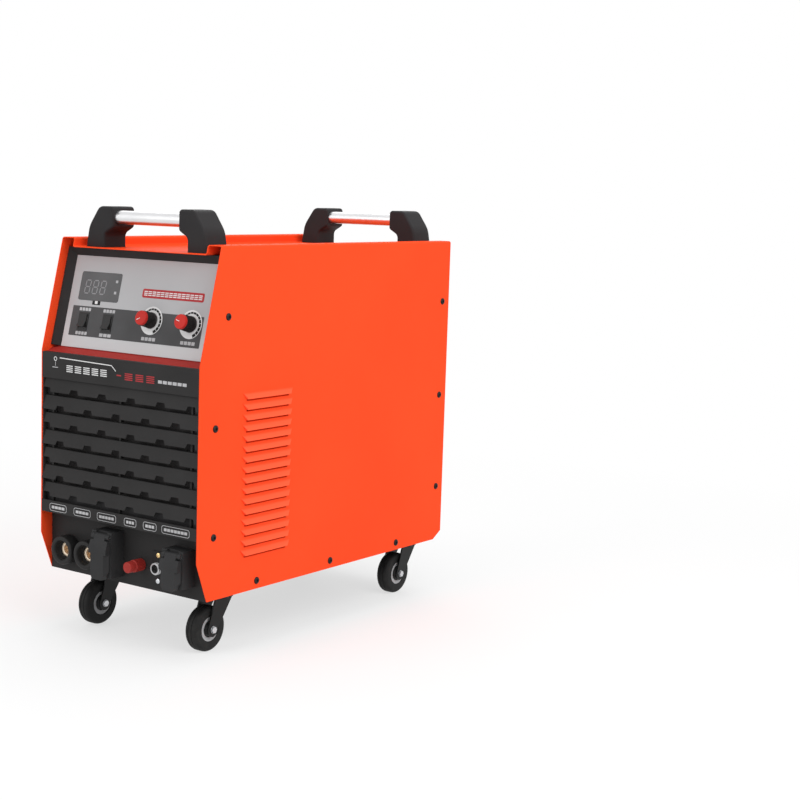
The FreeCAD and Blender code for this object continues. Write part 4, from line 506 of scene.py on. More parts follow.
lathed = (900, 30, 900)
finishes = {
    # orange cover, with painted shade on its inside and a painted highlight on its hood faces
    "orange": powderCoat("orangePowderCoat", (0.97, 0.077, 0.019), 0.42, coat=0.1, shine=0.0,
                         other=(0.02, 0.018, 0.018), where=paintedShadeInside, hoodHighlight=(1.0, 0.12, 0.048)),
    "baffle": powderCoat("baffleCoat", (0.8, 0.04, 0.012), coat=0.0, shine=0.0),
    "frame": powderCoat("frameCoat", (0.024, 0.023, 0.024), coat=0.03,
                        other=(0.36, 0.03, 0.024), where=shadedLedgeBand),
    "body": powderCoat("blackPowderCoat", (0.024, 0.023, 0.023), coat=0.03),
    "fascia": powderCoat("fasciaSilver", (0.45, 0.45, 0.46), 0.42, coat=0.05,
                         other=(0.6, 0.6, 0.61), where=lowPanel),
    # the centre partition is painted near black as painted shade inside the unit
    "inner": powderCoat("innerPaintedShade", (0.03, 0.03, 0.032), 0.6, coat=0.0),
    "bezel": moulded("bezelPlastic", (0.022, 0.02, 0.02), 0.55),
    "lens": moulded("smokedWindow", (0.085, 0.085, 0.088), 0.16, grain=500, depth=0.00002,
                    coat=0.3, shine=0.3),
    "switch": moulded("switchPlastic", (0.013, 0.013, 0.013), 0.3, grain=900, depth=0.0001, shine=0.3),
    "knob": moulded("knobPlastic", (0.016, 0.015, 0.015), 0.42, shine=0.25),
    "red": moulded("redCapPlastic", (0.53, 0.028, 0.022), 0.38),
    # the binding post's red, darkened as painted shade
    "post": moulded("shadedPostPlastic", (0.34, 0.028, 0.022), 0.42, shine=0.2),
    "grille": moulded("grillePlastic", (0.022, 0.021, 0.021)),
    # a dark sheet behind the slats, as painted shade
    "screen": moulded("shadeScreen", (0.03, 0.028, 0.028), 0.8, grain=600, depth=0.0004, shine=0.1),
    "socket": moulded("socketPlastic", (0.016, 0.015, 0.015), 0.45, shine=0.2),
    "lid": moulded("lidPlastic", (0.029, 0.029, 0.03)),
    "handle": moulded("handlePlastic", (0.02, 0.019, 0.02), 0.55, grain=1300),
    "fan": moulded("fanPlastic", (0.015, 0.015, 0.015)),
    "brass": plated("turnedBrass", (0.85, 0.62, 0.3), 0.25, lathed),
    "insert": plated("paleBrass", (1.0, 0.84, 0.66), 0.45, lathed),
    "shell": plated("shellMetal", (0.5, 0.5, 0.51), 0.32, lathed),
    "chrome": plated("polishedTube", (0.76, 0.76, 0.77), 0.26, (1200, 60, 60)),
    "black": plated("blackenedSteel", (0.03, 0.03, 0.03), 0.4),
    "zinc": plated("zincPlate", (0.62, 0.63, 0.65), 0.28),
    # the heatsink is painted near black as painted shade inside the unit
    "sink": plated("heatsinkPaintedShade", (0.06, 0.06, 0.062), 0.4),
    "pump": plated("castAluminium", (0.3, 0.3, 0.31), 0.5, (300, 300, 300)),
    "tyre": tyreRubber("casterRubber"),
    "rim": wheelCentre("rimPlastic", ring=(0.45, 0.45, 0.46), middle=(0.03, 0.03, 0.03), radius=13.7),
    "board": circuitBoard("greenBoard"),
    "core": wound("varnishedWinding"),
    "printDark": ink("darkPrint", (0.072, 0.072, 0.074)),
    "printBlack": ink("blackPrint", (0.012, 0.012, 0.012), 0.45),
    "printWhite": ink("whitePrint", (0.75, 0.75, 0.75)),
    "printPale": ink("palePrint", (0.46, 0.46, 0.47)),
    "printRed": ink("redPrint", (0.4, 0.035, 0.04), 0.45),
    "printGrey": ink("unlitSegments", (0.26, 0.26, 0.27)),
}

# which nodes have which finish
dressing = {
    "orange": ["outer_cover"],
    "frame": ["front_frame"],
    "body": ["base_pan", "socket_panel", "rear_panel"],
    "bezel": ["control_bezel"],
    "fascia": ["fascia_plate"],
    "lens": ["display_lens"],
    "grille": ["louvre_grille"],
    "switch": ["rocker_housings", "rocker_left", "rocker_right", "breaker_body", "breaker_toggle"],
    "knob": ["knob_left", "knob_right"],
    "red": ["knob_cap_left", "knob_cap_right", "binding_post_cap"],
    "lid": ["outlet_bases", "outlet_lid_left", "outlet_lid_right"],
    "handle": ["handle_ends"],
    "socket": ["work_socket", "torch_socket", "connector_flange", "connector_insert", "cable_gland"],
    "brass": ["socket_inserts", "binding_post_stud", "air_inlet"],
    "chrome": ["connector_shell", "handle_tubes"],
    "zinc": ["outlet_pins", "connector_screws", "fan_guard", "frame_bolts"],
    "fan": ["fan_frame", "fan_rotor"],
    "black": ["cover_screws", "caster_plates"],
    "board": ["control_board", "power_board"],
    "sink": ["heatsink"],
    "core": ["main_transformer", "output_choke"],
    "pump": ["air_compressor"],
    "inner": ["centre_partition"],
    "tyre": [],
}
for end, side in corners:
    dressing["black"].append(f"caster_fork_{end}_{side}")
    dressing["zinc"].append(f"caster_axle_{end}_{side}")
    dressing["tyre"].append(f"caster_wheel_{end}_{side}")
finishOf = {node: finish for finish, group in dressing.items() for node in group}
for node, finish in finishOf.items():
    for slot in nodes[node].material_slots:
        slot.material = finishes[finish]
print("finishes are on", len(finishOf), "nodes")

# camera, with its turns in degrees
shot = {"place": (1.8171, -2.1902, 0.7524), "yaw": -37.391, "pitch": -7.529, "roll": 1.549,
        "lens": 73.25, "shift": 0.1}
yaw, pitch, roll = (math.radians(shot[turn]) for turn in ("yaw", "pitch", "roll"))
ahead = Vector((math.sin(yaw) * math.cos(pitch), math.cos(yaw) * math.cos(pitch), math.sin(pitch)))
levelRight = Vector((math.cos(yaw), -math.sin(yaw), 0))
levelUp = levelRight.cross(ahead)
shotRight = math.cos(roll) * levelRight + math.sin(roll) * levelUp
shotUp = math.cos(roll) * levelUp - math.sin(roll) * levelRight
bpy.ops.object.camera_add()
camera = bpy.context.object
camera.data.lens, camera.data.shift_x = shot["lens"], shot["shift"]
camera.matrix_world = (Matrix.Translation(shot["place"])
                       @ Matrix((shotRight, shotUp, -ahead)).transposed().to_4x4())
scene.camera = camera

lampAim = Vector((0, 0, 0.35))
lamps = [
    # place, side length, power
    ((2.6, -0.6, 2.2), 2.4, 52),
    ((-0.8, -2.8, 1.6), 2.2, 26),
    ((0.2, 0.4, 3.2), 2.6, 34),
    ((-2.4, 2.4, 1.8), 2.4, 30),
]
for spot, side, power in lamps:
    bpy.ops.object.light_add(type="AREA", location=spot)
    lamp = bpy.context.object
    lamp.data.size, lamp.data.energy = side, power
    lamp.rotation_euler = (lampAim - Vector(spot)).to_track_quat("-Z", "Y").to_euler()
    lamp.visible_camera = False

# the room is white where it is seen and half as bright where it only lights
scene.world = scene.world or bpy.data.worlds.new("studio")
scene.world.use_nodes = True
sky = Graph(scene.world.node_tree)
dull = sky.add("ShaderNodeBackground", {}, {0: (1, 1, 1, 1), 1: 0.5})
bright = sky.add("ShaderNodeBackground", {}, {0: (1, 1, 1, 1)})
room = sky.add("ShaderNodeMixShader", {}, {0: sky.watched(), 1: dull, 2: bright})
sky.feed(sky.tree.nodes.new("ShaderNodeOutputWorld").inputs[0], room)

# the floor keeps the shadows near the unit and turns plain white further off
ground = {"size": 60, "own": 0.62, "from": 0.75, "to": 1.9}
bpy.ops.mesh.primitive_plane_add(size=ground["size"])
floor = bpy.context.object
floor.name = "studioFloor"
floorPaint = Paint("paleFloor")
floorPaint.set(Base_Color=(0.9, 0.9, 0.9, 1), Roughness=0.9, Specular_IOR_Level=0.0)
away = floorPaint.add("ShaderNodeVectorMath", {"operation": "LENGTH"}, {0: floorPaint.place}, "Value")
share = ground["own"] + (1 - ground["own"]) * floorPaint.spread(away, ground["from"], ground["to"])
glow = floorPaint.add("ShaderNodeEmission", {}, {"Color": (1, 1, 1, 1), "Strength": 1.0})
shadowed = Wire(floorPaint, floorPaint.shader.outputs[0])
mixed = floorPaint.add("ShaderNodeMixShader", {}, {0: floorPaint.watched() * share, 1: shadowed, 2: glow})
floorPaint.feed(floorPaint.surface, mixed)
floor.data.materials.append(floorPaint.material)
print("camera, floor and light are set")

slats = {"count": 7, "lowest": 229.5, "pitch": 29.2, "notch": 7.0, "longer": 2.6, "behind": 4.2,
         "forward": 0.3, "margin": 0.1, "hair": 0.05}


# lengthens the slats' lower edges, with their notches
def deepenSlats(piece):
    low, notch = slats["lowest"], slats["notch"]
    top = low + slats["pitch"] * (slats["count"] - 1) + notch
    for point in piece.data.vertices:
        high = point.co.z * 1000
        over = (high - low) % slats["pitch"]
        onNotch = abs(over - notch) < slats["hair"]
        onEdge = min(over, slats["pitch"] - over) < slats["hair"]
        inGrille = low - slats["margin"] < high < top + slats["margin"]
        if inGrille and (onEdge or onNotch) and point.co.y < kneeBack + slats["behind"] / 1000:
            point.co.z -= slats["longer"] / 1000
            if onNotch:
                point.co.y -= slats["forward"] / 1000


hoods = {"low": 158, "high": 428, "wall": 172, "rearFrom": 204, "rearTo": 219.5, "longer": 13,
         "slitFrom": 105, "slitTo": 230, "lip": 158.5, "pitch": 16.9, "wider": 1.8, "hair": 0.05}


# lengthens the side hoods at their rear ends and widens their slits downwards
def lengthenHoods(piece):
    for point in piece.data.vertices:
        aside, back, high = abs(point.co.x) * 1000, (point.co.y - kneeBack) * 1000, point.co.z * 1000
        if aside <= hoods["wall"] or not hoods["low"] < high < hoods["high"]:
            continue
        if hoods["rearFrom"] < back < hoods["rearTo"]:
            back += hoods["longer"]
            point.co.y += hoods["longer"] / 1000
        under = (high - hoods["lip"]) % hoods["pitch"]
        onLip = min(under, hoods["pitch"] - under) < hoods["hair"]
        if onLip and hoods["slitFrom"] < back < hoods["slitTo"]:
            point.co.z -= hoods["wider"] / 1000


reshaped = {"louvre_grille": deepenSlats, "outer_cover": lengthenHoods}


# a CAD node's own shape with its flat faces joined, its edges eased and its large faces shaded flat
def eased(node, width, sharp=30):
    piece = twin(nodes[node], "".join(word.capitalize() for word in node.split("_")))
    if node in reshaped:
        reshaped[node](piece)
    edit(piece)
    bpy.ops.mesh.select_all(action="SELECT")
    bpy.ops.mesh.remove_doubles(threshold=0.000005)
    bpy.ops.mesh.dissolve_limited(angle_limit=math.radians(0.6))
    if node == "louvre_grille":
        bpy.ops.mesh.vert_connect_concave()
    rest()
    easeEdges(piece, width, sharp)
    smoothed(piece, sharp)
    modifier = piece.modifiers.new("weigh", "WEIGHTED_NORMAL")
    modifier.keep_sharp = True
    applyAll(piece)
    return settle(piece, finishOf[node], nodes[node]["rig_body"], replaced=[node])


# how wide each eased edge is, in millimetres
easing = {
    "outer_cover": 0.35, "base_pan": 0.4, "front_frame": 0.3, "control_bezel": 0.6, "fascia_plate": 0.25,
    "display_lens": 0.3, "rocker_housings": 0.3, "rocker_left": 0.5, "rocker_right": 0.5,
    "louvre_grille": 0.45, "socket_panel": 0.3, "outlet_bases": 0.8, "outlet_lid_left": 0.8,
    "outlet_lid_right": 0.8, "connector_flange": 0.3, "handle_ends": 0.9, "rear_panel": 0.3, "fan_frame": 0.6,
    "breaker_body": 0.7, "breaker_toggle": 0.7, "caster_plates": 0.4,
}
for end, side in corners:
    easing[f"caster_fork_{end}_{side}"] = 0.5
for node, width in easing.items():
    eased(node, width)
print("edges are eased on", len(easing), "shapes")

# printed control panel; a box is its left, low, right and high
panelPrint = {
    "face": -25, "film": 0.18, "band": (-146, 31.5, 143, 81.5), "banner": (4, 104, 136, 118.5),
    "tag": (-104, 85, -86, 93), "tagDash": (-98, 86.6, -92, 91.4), "onLens": 0.3, "lensFilm": 0.08,
    "digits": (-128, -110.5, -93), "digitLow": 102.4, "digitHigh": 126.2, "digitWide": 12.5,
    "lensMarks": ((-59, 123.5, -54, 128), (-59, 105, -54, 109.5)),
    # middle, half width, line, height and number of dashes
    "captions": ((-117, 13, 76.4, 5.2, 4), (-117, 13, 36.4, 5.2, 4), (-62, 13, 76.4, 5.2, 4),
                 (-62, 13, 36.4, 5.2, 3), (34, 15, 38, 5.4, 4), (118, 15, 38, 5.4, 4)),
}
scale = {"places": {"Left": 34, "Right": 118}, "line": 68, "disc": 23, "start": 140, "stop": -68,
         "inner": 17.2, "thin": 2.2, "thick": 4.9, "ticks": 11, "gap": 2.6}


def onPanel(name, loops, finish, layer=0):
    depth = panelPrint["face"] + layer * panelPrint["film"]
    film(name, loops, panelPlane, depth, panelPrint["film"], finish)


def onLens(name, loops, finish):
    film(name, loops, panelPlane, panelPrint["face"] + panelPrint["onLens"], panelPrint["lensFilm"], finish)


# black ticks that grow clockwise around a knob
def knobTicks(across):
    count = scale["ticks"]
    span, grow = (scale["stop"] - scale["start"]) / count, (scale["thick"] - scale["thin"]) / count
    ticks = []
    for tick in range(count):
        stop = scale["start"] + span * (tick + 1)
        if tick < count - 1:
            stop += scale["gap"]
        ticks.append(horn(across, scale["line"], scale["start"] + span * tick, stop, scale["inner"],
                          scale["thin"] + grow * tick, scale["thin"] + grow * (tick + 1)))
    return ticks


# the seven bars of one unlit digit
def digit(left, low, wide, high, bar=1.9, split=0.25, slant=0.09):
    middle, inset = (low + high) / 2, bar + split
    loops = [box(left + inset, along, left + wide - inset, along + bar)
             for along in (low, middle - bar / 2, high - bar)]
    for across in (left, left + wide - bar):
        loops.append(box(across, low + inset, across + bar, middle - bar / 2 - split))
        loops.append(box(across, middle + bar / 2 + split, across + bar, high - inset))
    return [[(across + slant * (along - low), along) for across, along in loop] for loop in loops]


onPanel("controlBand", [box(*panelPrint["band"], corner=1.0)], "printDark")
left, low, right, high = panelPrint["banner"]
onPanel("banner", [box(left, low, right, high, corner=3)], "printRed")
bannerDashes = barred(left + 4, right - 4, (low + high) / 2, height=7.4, count=14, gap=1.6)
onPanel("bannerDashes", bannerDashes, "printWhite", layer=1)
onPanel("unitTag", [box(*panelPrint["tag"], corner=0.8)], "printBlack")
onPanel("unitDash", [box(*panelPrint["tagDash"], corner=0.5)], "printWhite", layer=1)
for side, across in scale["places"].items():
    onPanel(f"knobScale{side}", [disc(across, scale["line"], scale["disc"])], "printWhite", layer=1)
    onPanel(f"knobArc{side}", knobTicks(across), "printBlack", layer=2)
digits = []
for left in panelPrint["digits"]:
    digits += digit(left, panelPrint["digitLow"], panelPrint["digitWide"], panelPrint["digitHigh"])
onLens("displayDigits", digits, "printGrey")
onLens("displayMarks", [box(*mark, corner=0.6) for mark in panelPrint["lensMarks"]], "printPale")
captions = []
for middle, half, line, height, count in panelPrint["captions"]:
    captions += dashes(middle - half, middle + half, line, height, count, gap=1.4)
onPanel("panelCaptions", captions, "printPale", layer=1)
print("control panel is printed")

# header rule, marks and label strip on the grille
header = {
    "film": 0.18, "rule": ((-132, 460.2), (-13.6, 457.8), (-4.0, 449.6)), "thick": 1.5,
    "ring": (-142, 458), "ringOuter": 3.6, "ringInner": 2.5,
    "stem": ((-142.5, 446.5, -141.5, 453.4), (-149, 443.4, -136, 444.6)),
    # the ends of each label, and the strip that they share
    "labels": ((-154, -114), (-97, -58), (-43, 0), (18, 45), (60, 89), (100, 159)),
    "labelLow": 203, "labelHigh": 216, "labelEdge": 0.8, "labelRound": 4.2, "labelInner": 3.5,
    "labelPitch": 9,
}


def onFront(name, loops, finish):
    film(name, loops, frontPlane, 0, header["film"], finish)


def ribbon(points, thick):
    above, below = [], []
    for spot, here in enumerate(points):
        before, after = Vector(points[max(spot - 1, 0)]), Vector(points[min(spot + 1, len(points) - 1)])
        run = (after - before).normalized()
        across = Vector((-run.y, run.x)) * thick / 2
        above.append(tuple(Vector(here) + across))
        below.append(tuple(Vector(here) - across))
    return above + below[::-1]


onFront("headerRule", [ribbon(header["rule"], header["thick"])], "printWhite")
ring = [disc(*header["ring"], header[radius]) for radius in ("ringOuter", "ringInner")]
onFront("headerRing", ring, "printWhite")
onFront("headerDashes", barred(-116, -24, along=444, height=11, count=5, gap=5, bars=4), "printWhite")
onFront("headerSmallDashes", dashes(88, 148, along=441.5, height=5, count=6, gap=2), "printPale")
onFront("headerStem", [box(*part) for part in header["stem"]], "printPale")
redDashes = dashes(-2, 8, along=443.5, height=2.2, count=1, gap=0)
redDashes += barred(16, 80, along=443, height=11, count=3, gap=7, bars=4, share=0.55)
onFront("headerRedDashes", redDashes, "printRed")
frames, lines = [], []
low, high, edge = header["labelLow"], header["labelHigh"], header["labelEdge"]
for left, right in header["labels"]:
    frames.append(box(left, low, right, high, header["labelRound"]))
    frames.append(box(left + edge, low + edge, right - edge, high - edge, header["labelInner"]))
    count = max(3, round((right - left) / header["labelPitch"]))
    lines += dashes(left + 5, right - 5, (low + high) / 2, height=4.6, count=count, gap=1.2)
onFront("labelFrames", frames, "printPale")
onFront("labelDashes", lines, "printPale")

# plain baffles behind the side hoods, and a dark screen behind the slats, a sheet of painted shade for the
# dark inside
baffle = {"from": 104, "to": 238, "low": 148, "high": 434, "depth": 172.0, "thick": 0.8}
for label, plane, mirror in (("Right", rightPlane, 1), ("Left", leftPlane, -1)):
    left, right = sorted((mirror * baffle["from"], mirror * baffle["to"]))
    film(f"hoodBaffle{label}", [box(left, baffle["low"], right, baffle["high"])], plane,
         baffle["depth"], baffle["thick"], "baffle")
screen = {"box": (-170, 218, 170, 446), "depth": -13.4, "thick": 0.4}
film("shadeScreen", [box(*screen["box"])], frontPlane, screen["depth"], screen["thick"], "screen")
print("grille is printed")

# caster wheels: a tyre, and a rim with its hub
wheel = {"radius": 37.5, "half": 12, "round": 7, "rimOuter": 20.5, "rimInner": 13.4, "hub": 14, "bore": 4.05}


# turns a ring from the outline of its upper half, which is mirrored
def mirroredRing(name, upper):
    loop = upper + [(radius, -height) for radius, height in reversed(upper)]
    return turned(name, loop + loop[:1], steps=72)


def wheelTyre():
    half, outer, turn, rim = wheel["half"], wheel["radius"], wheel["round"], wheel["rimOuter"]
    crown = [(outer - turn + turn * math.sin(angle), half - turn + turn * math.cos(angle)) for angle in
             (math.radians(step * 15) for step in range(7))]
    groove = [(outer, 4.2), (outer - 0.9, 3.7), (outer - 0.9, 3.1), (outer, 2.6)]
    seat = [(rim - 0.5, half - 3), (rim, half - 0.6), (rim + 0.8, half)]
    return mirroredRing("casterTyre", seat + crown + groove)


def wheelRim():
    half, outer, inner, hub = wheel["half"], wheel["rimOuter"], wheel["rimInner"], wheel["hub"]
    middle = [(wheel["bore"], hub), (6.6, hub), (7.4, hub - 0.8), (8.6, half - 1.6), (9.4, half - 2.6)]
    dish = [(inner - 0.8, half - 3.4), (inner, half - 2.8), (inner + 0.8, half - 2)]
    edge = [(outer - 2.2, half - 1.6), (outer - 1.2, half - 1.2), (outer, half - 1.4)]
    return mirroredRing("casterRim", middle + dish + edge)


wheelParts = ((wheelTyre(), "tyre", "casterTyre"), (wheelRim(), "rim", "casterRim"))
for end, side in corners:
    for source, finish, label in wheelParts:
        piece = placed(twin(source, label + end.capitalize() + side.capitalize()), casterSpot(end, side, 90))
        settle(piece, finish, f"wheel_{end}_{side}", [f"caster_wheel_{end}_{side}"])
for source, finish, label in wheelParts:
    bpy.data.objects.remove(source)
print("wheels are made")

# chromed tubes between the handle ends
tube = {"outer": 11, "inner": 9, "half": 86, "height": 691, "deep": (-270.5, 303.5)}
outer, inner, half = tube["outer"], tube["inner"], tube["half"]
tubeWall = [(outer, -half), (outer, half), (inner, half), (inner, -half), (outer, -half)]
pair = []
for deep in tube["deep"]:
    spot = Matrix.Translation((0, deep / 1000, tube["height"] / 1000)) @ Matrix.Rotation(math.pi / 2, 4, "Y")
    pair.append(placed(turned("handleTube", tubeWall), spot))
settle(together(pair, "handleTubes"), "chrome", "cabinet", ["handle_tubes"])

# button-head screws with a hexagon socket; each spot is its depth behind the front and its height
button = {"head": 5.8, "rise": 2.8, "rim": 0.25, "shank": 2.4, "length": 8, "socket": 2.4, "socketDeep": 1.6,
          "wall": 175, "spots": ((38, 201), (38, 373), (64, 546), (146, 113.5), (343, 113.5), (540, 113.5),
                                 (665, 201), (665, 373), (665, 546))}
head, rise, rim = button["head"], button["rise"], button["rim"]
dome = [(head * math.sin(turn), rise * (rim + (1 - rim) * math.cos(turn)))
        for turn in (math.radians(step * 10) for step in range(2, 10))]
shank = [(head, 0), (button["shank"], 0), (button["shank"], -button["length"]), (0, -button["length"])]
screw = turned("coverScrew", [(0, rise)] + dome + shank, steps=28)
minusShape(screw, prism(6, button["socket"], rise - button["socketDeep"], rise + 1))
copies = []
for plane, mirror in ((rightPlane, 1), (leftPlane, -1)):
    for deep, high in button["spots"]:
        copies.append(stand(twin(screw, "coverScrew"), plane, mirror * deep, high, button["wall"], spin=deep))
bpy.data.objects.remove(screw)
settle(smoothed(together(copies, "coverScrews")), "black", "cabinet", ["cover_screws"])

# power sockets: dished collars and brass inserts with a key slot
power = {
    "places": {"work": -129, "torch": -76}, "line": 138, "panel": -24,
    "collar": [(13, 10.2), (14.2, 10.2), (15, 12), (15.6, 17.5), (16.4, 20.4), (17.4, 21.6), (18.8, 22),
               (21.6, 22), (23.2, 21.4), (23.9, 20), (24, 18), (24, 0), (17, 0), (17, -14), (13, -14),
               (13, 10.2)],
    "insert": [(7.5, -17.5), (7.5, 7.6), (8.4, 8.5), (11.6, 8.5), (13, 7.4), (13, -25.5), (0, -25.5),
               (0, -17.5), (7.5, -17.5)],
    "slot": (5, 0, -4), "slotSides": (10, 3, 27),
}
inserts = []
for label, across in power["places"].items():
    collar = turned(f"{label}Collar", power["collar"], ease=0.25)
    stand(collar, frontPlane, across, power["line"], power["panel"])
    settle(collar, "socket", "cabinet", [f"{label}_socket"])
for across in power["places"].values():
    insert = slotted(turned("insert", power["insert"], ease=0.15), power["slot"], power["slotSides"])
    inserts.append(stand(insert, frontPlane, across, power["line"], power["panel"]))
settle(together(inserts, "socketInserts"), "insert", "cabinet", ["socket_inserts"])

# binding post cap with a knurled barrel and a smooth tip, in a red darkened as painted shade
post = {
    "place": (35, 138, -24), "ribs": 24, "share": 0.93, "low": 2, "high": 19,
    "outline": [(3.05, 25.7), (3.05, 0.3), (9.4, 0.3), (10, 0.9), (10, 3), (10, 18.6), (10, 19.8),
                (9.2, 20.4), (8.4, 21), (8.5, 21.6), (9, 22), (9, 32.4), (8.6, 33.5), (7.6, 34), (0, 34),
                (0, 25.7), (3.05, 25.7)],
}
cap = turned("postCap", post["outline"], steps=96)
ribs(cap, post["ribs"], post["share"], post["low"], post["high"], sharp=24)
stand(cap, frontPlane, *post["place"])
settle(cap, "post", "post_cap", ["binding_post_cap"])

# control plug socket: a ring with a rolled edge and a thread, two screws with slots
plug = {
    "place": (73, 138, -24), "screw": 21, "spin": 25, "slot": (0, 0, 3.6), "slotSides": (10, 0.9, 1.4),
    "ring": [(7, 10), (7.9, 10), (9.3, 10), (10, 9.3), (10, 8.2), (9.5, 7.7), (9.9, 7.2), (9.5, 6.7),
             (9.9, 6.2), (9.5, 5.7), (10, 5.2), (10, 2), (8.5, 2), (8.5, -16), (7, -16), (7, 10)],
    "head": [(0, 3.5), (2.4, 3.4), (3.6, 3.0), (4.2, 2.4), (4.2, 2), (2.4, 2), (2.4, 0), (0, 0)],
}
across, along, depth = plug["place"]
ring = stand(turned("plugRing", plug["ring"]), frontPlane, across, along, depth)
settle(ring, "shell", "cabinet", ["connector_shell"])
for label, side, finish, replaced in (("Upper", 1, "brass", ["connector_screws"]), ("Lower", -1, "zinc", ())):
    head = slotted(turned(f"flangeScrew{label}", plug["head"], steps=32), plug["slot"], plug["slotSides"])
    stand(head, frontPlane, across, along + side * plug["screw"], depth, spin=side * plug["spin"])
    settle(head, finish, "cabinet", replaced)
print("front fittings are made")

# knobs with gripping flutes, and caps with a pale line
knob = {
    "places": {"left": 34, "right": 118}, "line": 68, "foot": -24, "rest": {"left": 115, "right": 75},
    "ribs": 36, "share": 0.955, "low": 3.6, "high": 20,
    "grip": [(3.05, 12.3), (3.05, 0), (12.9, 0), (13.2, 0.4), (13.2, 2.6), (12.9, 3.1), (12.8, 4),
             (12.3, 19.4), (12, 20.2), (11.3, 20.5), (0, 20.5), (0, 12.3), (3.05, 12.3)],
    "cap": [(0, 20.5), (11.5, 20.5), (11.7, 20.7), (11.7, 24.4), (11.4, 25.1), (10.8, 25.5), (10, 25.3),
            (9.2, 25.2), (0, 25.2)],
    "mark": box(-0.5, 1.5, 0.5, 8.8), "markHigh": 25.2, "markFilm": 0.1,
}
for side, across in knob["places"].items():
    label, body = side.capitalize(), f"{side}_knob"
    grip = turned(f"knobGrip{label}", knob["grip"], steps=144)
    ribs(grip, knob["ribs"], knob["share"], knob["low"], knob["high"], sharp=24)
    stand(grip, panelPlane, across, knob["line"], knob["foot"])
    settle(grip, "knob", body, [f"knob_{side}"])
    cap = turned(f"knobCap{label}", knob["cap"], steps=72)
    stand(cap, panelPlane, across, knob["line"], knob["foot"])
    settle(cap, "red", body, [f"knob_cap_{side}"])
    turn = math.radians(knob["rest"][side])
    mark = [(across + x * math.cos(turn) - y * math.sin(turn),
             knob["line"] + x * math.sin(turn) + y * math.cos(turn)) for x, y in knob["mark"]]
    film(f"knobMark{label}", [mark], panelPlane, knob["foot"] + knob["markHigh"], knob["markFilm"],
         "printWhite", body)
print("knobs are made")

# fan guard of round wires, seen at the back
guard = {"line": 470, "wire": 0.95, "radii": (56, 44, 32, 20), "ringHigh": 7, "arm": 65, "armHigh": 5.4,
         "foot": [(0, 6.6), (2.6, 6.6), (4, 5.4), (4, 0), (0, 0)]}
wires = []
for radius in guard["radii"]:
    rest()
    bpy.ops.mesh.primitive_torus_add(major_radius=radius / 1000, minor_radius=guard["wire"] / 1000,
                                     major_segments=72, minor_segments=10,
                                     location=(0, 0, guard["ringHigh"] / 1000))
    wires.append(bpy.context.object)
for turn in (0, 90):
    rest()
    bpy.ops.mesh.primitive_cylinder_add(vertices=12, radius=guard["wire"] / 1000, depth=guard["arm"] / 500,
                                        location=(0, 0, guard["armHigh"] / 1000),
                                        rotation=(math.pi / 2, 0, math.radians(turn)))
    wires.append(bpy.context.object)
for quarter in range(4):
    turn = quarter * math.pi / 2
    foot = turned("guardFoot", guard["foot"], steps=24)
    foot.location = (guard["arm"] / 1000 * math.cos(turn), guard["arm"] / 1000 * math.sin(turn), 0)
    wires.append(foot)
for piece in wires:
    smoothed(placed(piece), sharp=35)
guardPiece = stand(together(wires, "fanGuard"), rearPlane, 0, guard["line"], 0)
settle(guardPiece, "zinc", "cabinet", ["fan_guard"])


# a hexagon with a round hole through it, standing on Z
def hexagonNut(radius, bore, high, sides, ease):
    nut = prism(6, radius, 0, high)
    minusShape(nut, prism(sides, bore, -1, high + 1))
    easeEdges(nut, ease)
    return nut


# cable gland: a hexagon and a ribbed dome nut
gland = {
    "place": (100, 190), "ribs": 12, "share": 0.95, "low": 6.6, "high": 15,
    "dome": [(6.5, 4), (10, 4), (11.6, 6.4), (11.8, 7), (11.8, 14), (11.4, 15.6), (10.4, 17.6), (9.2, 19.6),
             (8.2, 21.2), (7.4, 22), (6.9, 22), (6.5, 21.6), (6.5, -13), (10, -13), (10, 0), (6.6, 0),
             (6.5, 4)],
}
bottom = hexagonNut(radius=14, bore=6.5, high=6, sides=48, ease=0.4)
domeNut = turned("glandNut", gland["dome"], steps=96)
ribs(domeNut, gland["ribs"], gland["share"], gland["low"], gland["high"], sharp=28)
glandPiece = stand(together([bottom, domeNut], "cableGland"), rearPlane, *gland["place"], 0)
settle(glandPiece, "socket", "cabinet", ["cable_gland"])

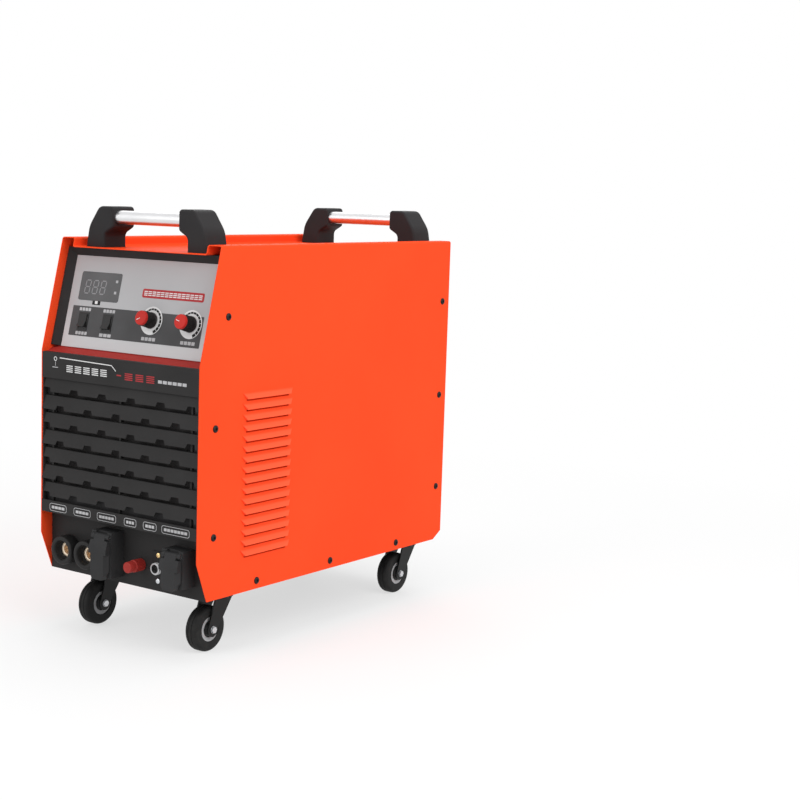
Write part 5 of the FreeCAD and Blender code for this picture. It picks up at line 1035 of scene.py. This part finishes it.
# brass air inlet: a hexagon and a stem with three barbs
inlet = {"place": (-100, 190), "hexagon": 6, "core": 4, "barb": 5.5, "pitch": 3.5, "undercut": 0.3,
         "bore": 2, "tip": 20, "foot": [(4, 0), (6, 0), (6, -13), (2, -13)]}
stemOutline = [(inlet["bore"], inlet["tip"]), (inlet["core"], inlet["tip"])]
for step in (3, 2, 1):
    ledge = inlet["hexagon"] + step * inlet["pitch"]
    below = inlet["hexagon"] + (step - 1) * inlet["pitch"]
    stemOutline += [(inlet["core"], ledge + inlet["undercut"]), (inlet["barb"], ledge),
                    (inlet["core"], below + inlet["undercut"])]
hexagon = hexagonNut(radius=9, bore=inlet["bore"], high=inlet["hexagon"], sides=32, ease=0.3)
stem = turned("airStem", stemOutline + inlet["foot"] + stemOutline[:1], steps=48)
inletPiece = stand(together([hexagon, stem], "airInlet"), rearPlane, *inlet["place"], 0)
settle(inletPiece, "brass", "cabinet", ["air_inlet"])

# the breaker's on and off marks
breaker = {"bar": (99.4, 318, 100.6, 322), "ring": (100, 280.2), "radii": (2, 1.2), "face": 7, "film": 0.15}
marks = [box(*breaker["bar"], corner=0.3)] + [disc(*breaker["ring"], radius) for radius in breaker["radii"]]
film("breakerMarks", marks, rearPlane, breaker["face"], breaker["film"], "printWhite")
print("back fittings are made")

# caster axles: a plain rod, and on each end a washer and a hexagon, one of them a locking nut
axle = {"rod": 4, "end": 17.6, "washer": [(3, 17.65), (6, 17.65), (6, 18.5), (3, 18.5), (3, 17.65)],
        "head": (5.8, 18.5, 21.4), "ease": 0.35, "turn": {"left": -90, "right": 90},
        "lockRing": [(0, 21.55), (3.4, 21.55), (4.4, 21.3), (4.4, 20.5), (0, 20.5)]}
radius, stop = axle["rod"], axle["end"]
parts = [turned("axleRod", [(0, -stop), (radius, -stop), (radius, stop), (0, stop)], steps=32)]
for flip in (0, 180):
    ends = [turned("axleWasher", axle["washer"], steps=32), prism(6, *axle["head"])]
    easeEdges(ends[1], axle["ease"])
    if flip:
        ends.append(turned("lockRing", axle["lockRing"], steps=32))
    parts += [placed(piece, Matrix.Rotation(math.radians(flip), 4, "X")) for piece in ends]
master = together(parts, "casterAxle")
for end, side in corners:
    piece = twin(master, f"casterAxle{end.capitalize()}{side.capitalize()}")
    placed(piece, casterSpot(end, side, axle["turn"][side]))
    settle(piece, "zinc", f"fork_{end}_{side}", [f"caster_axle_{end}_{side}"])
bpy.data.objects.remove(master)
print("axles are made")
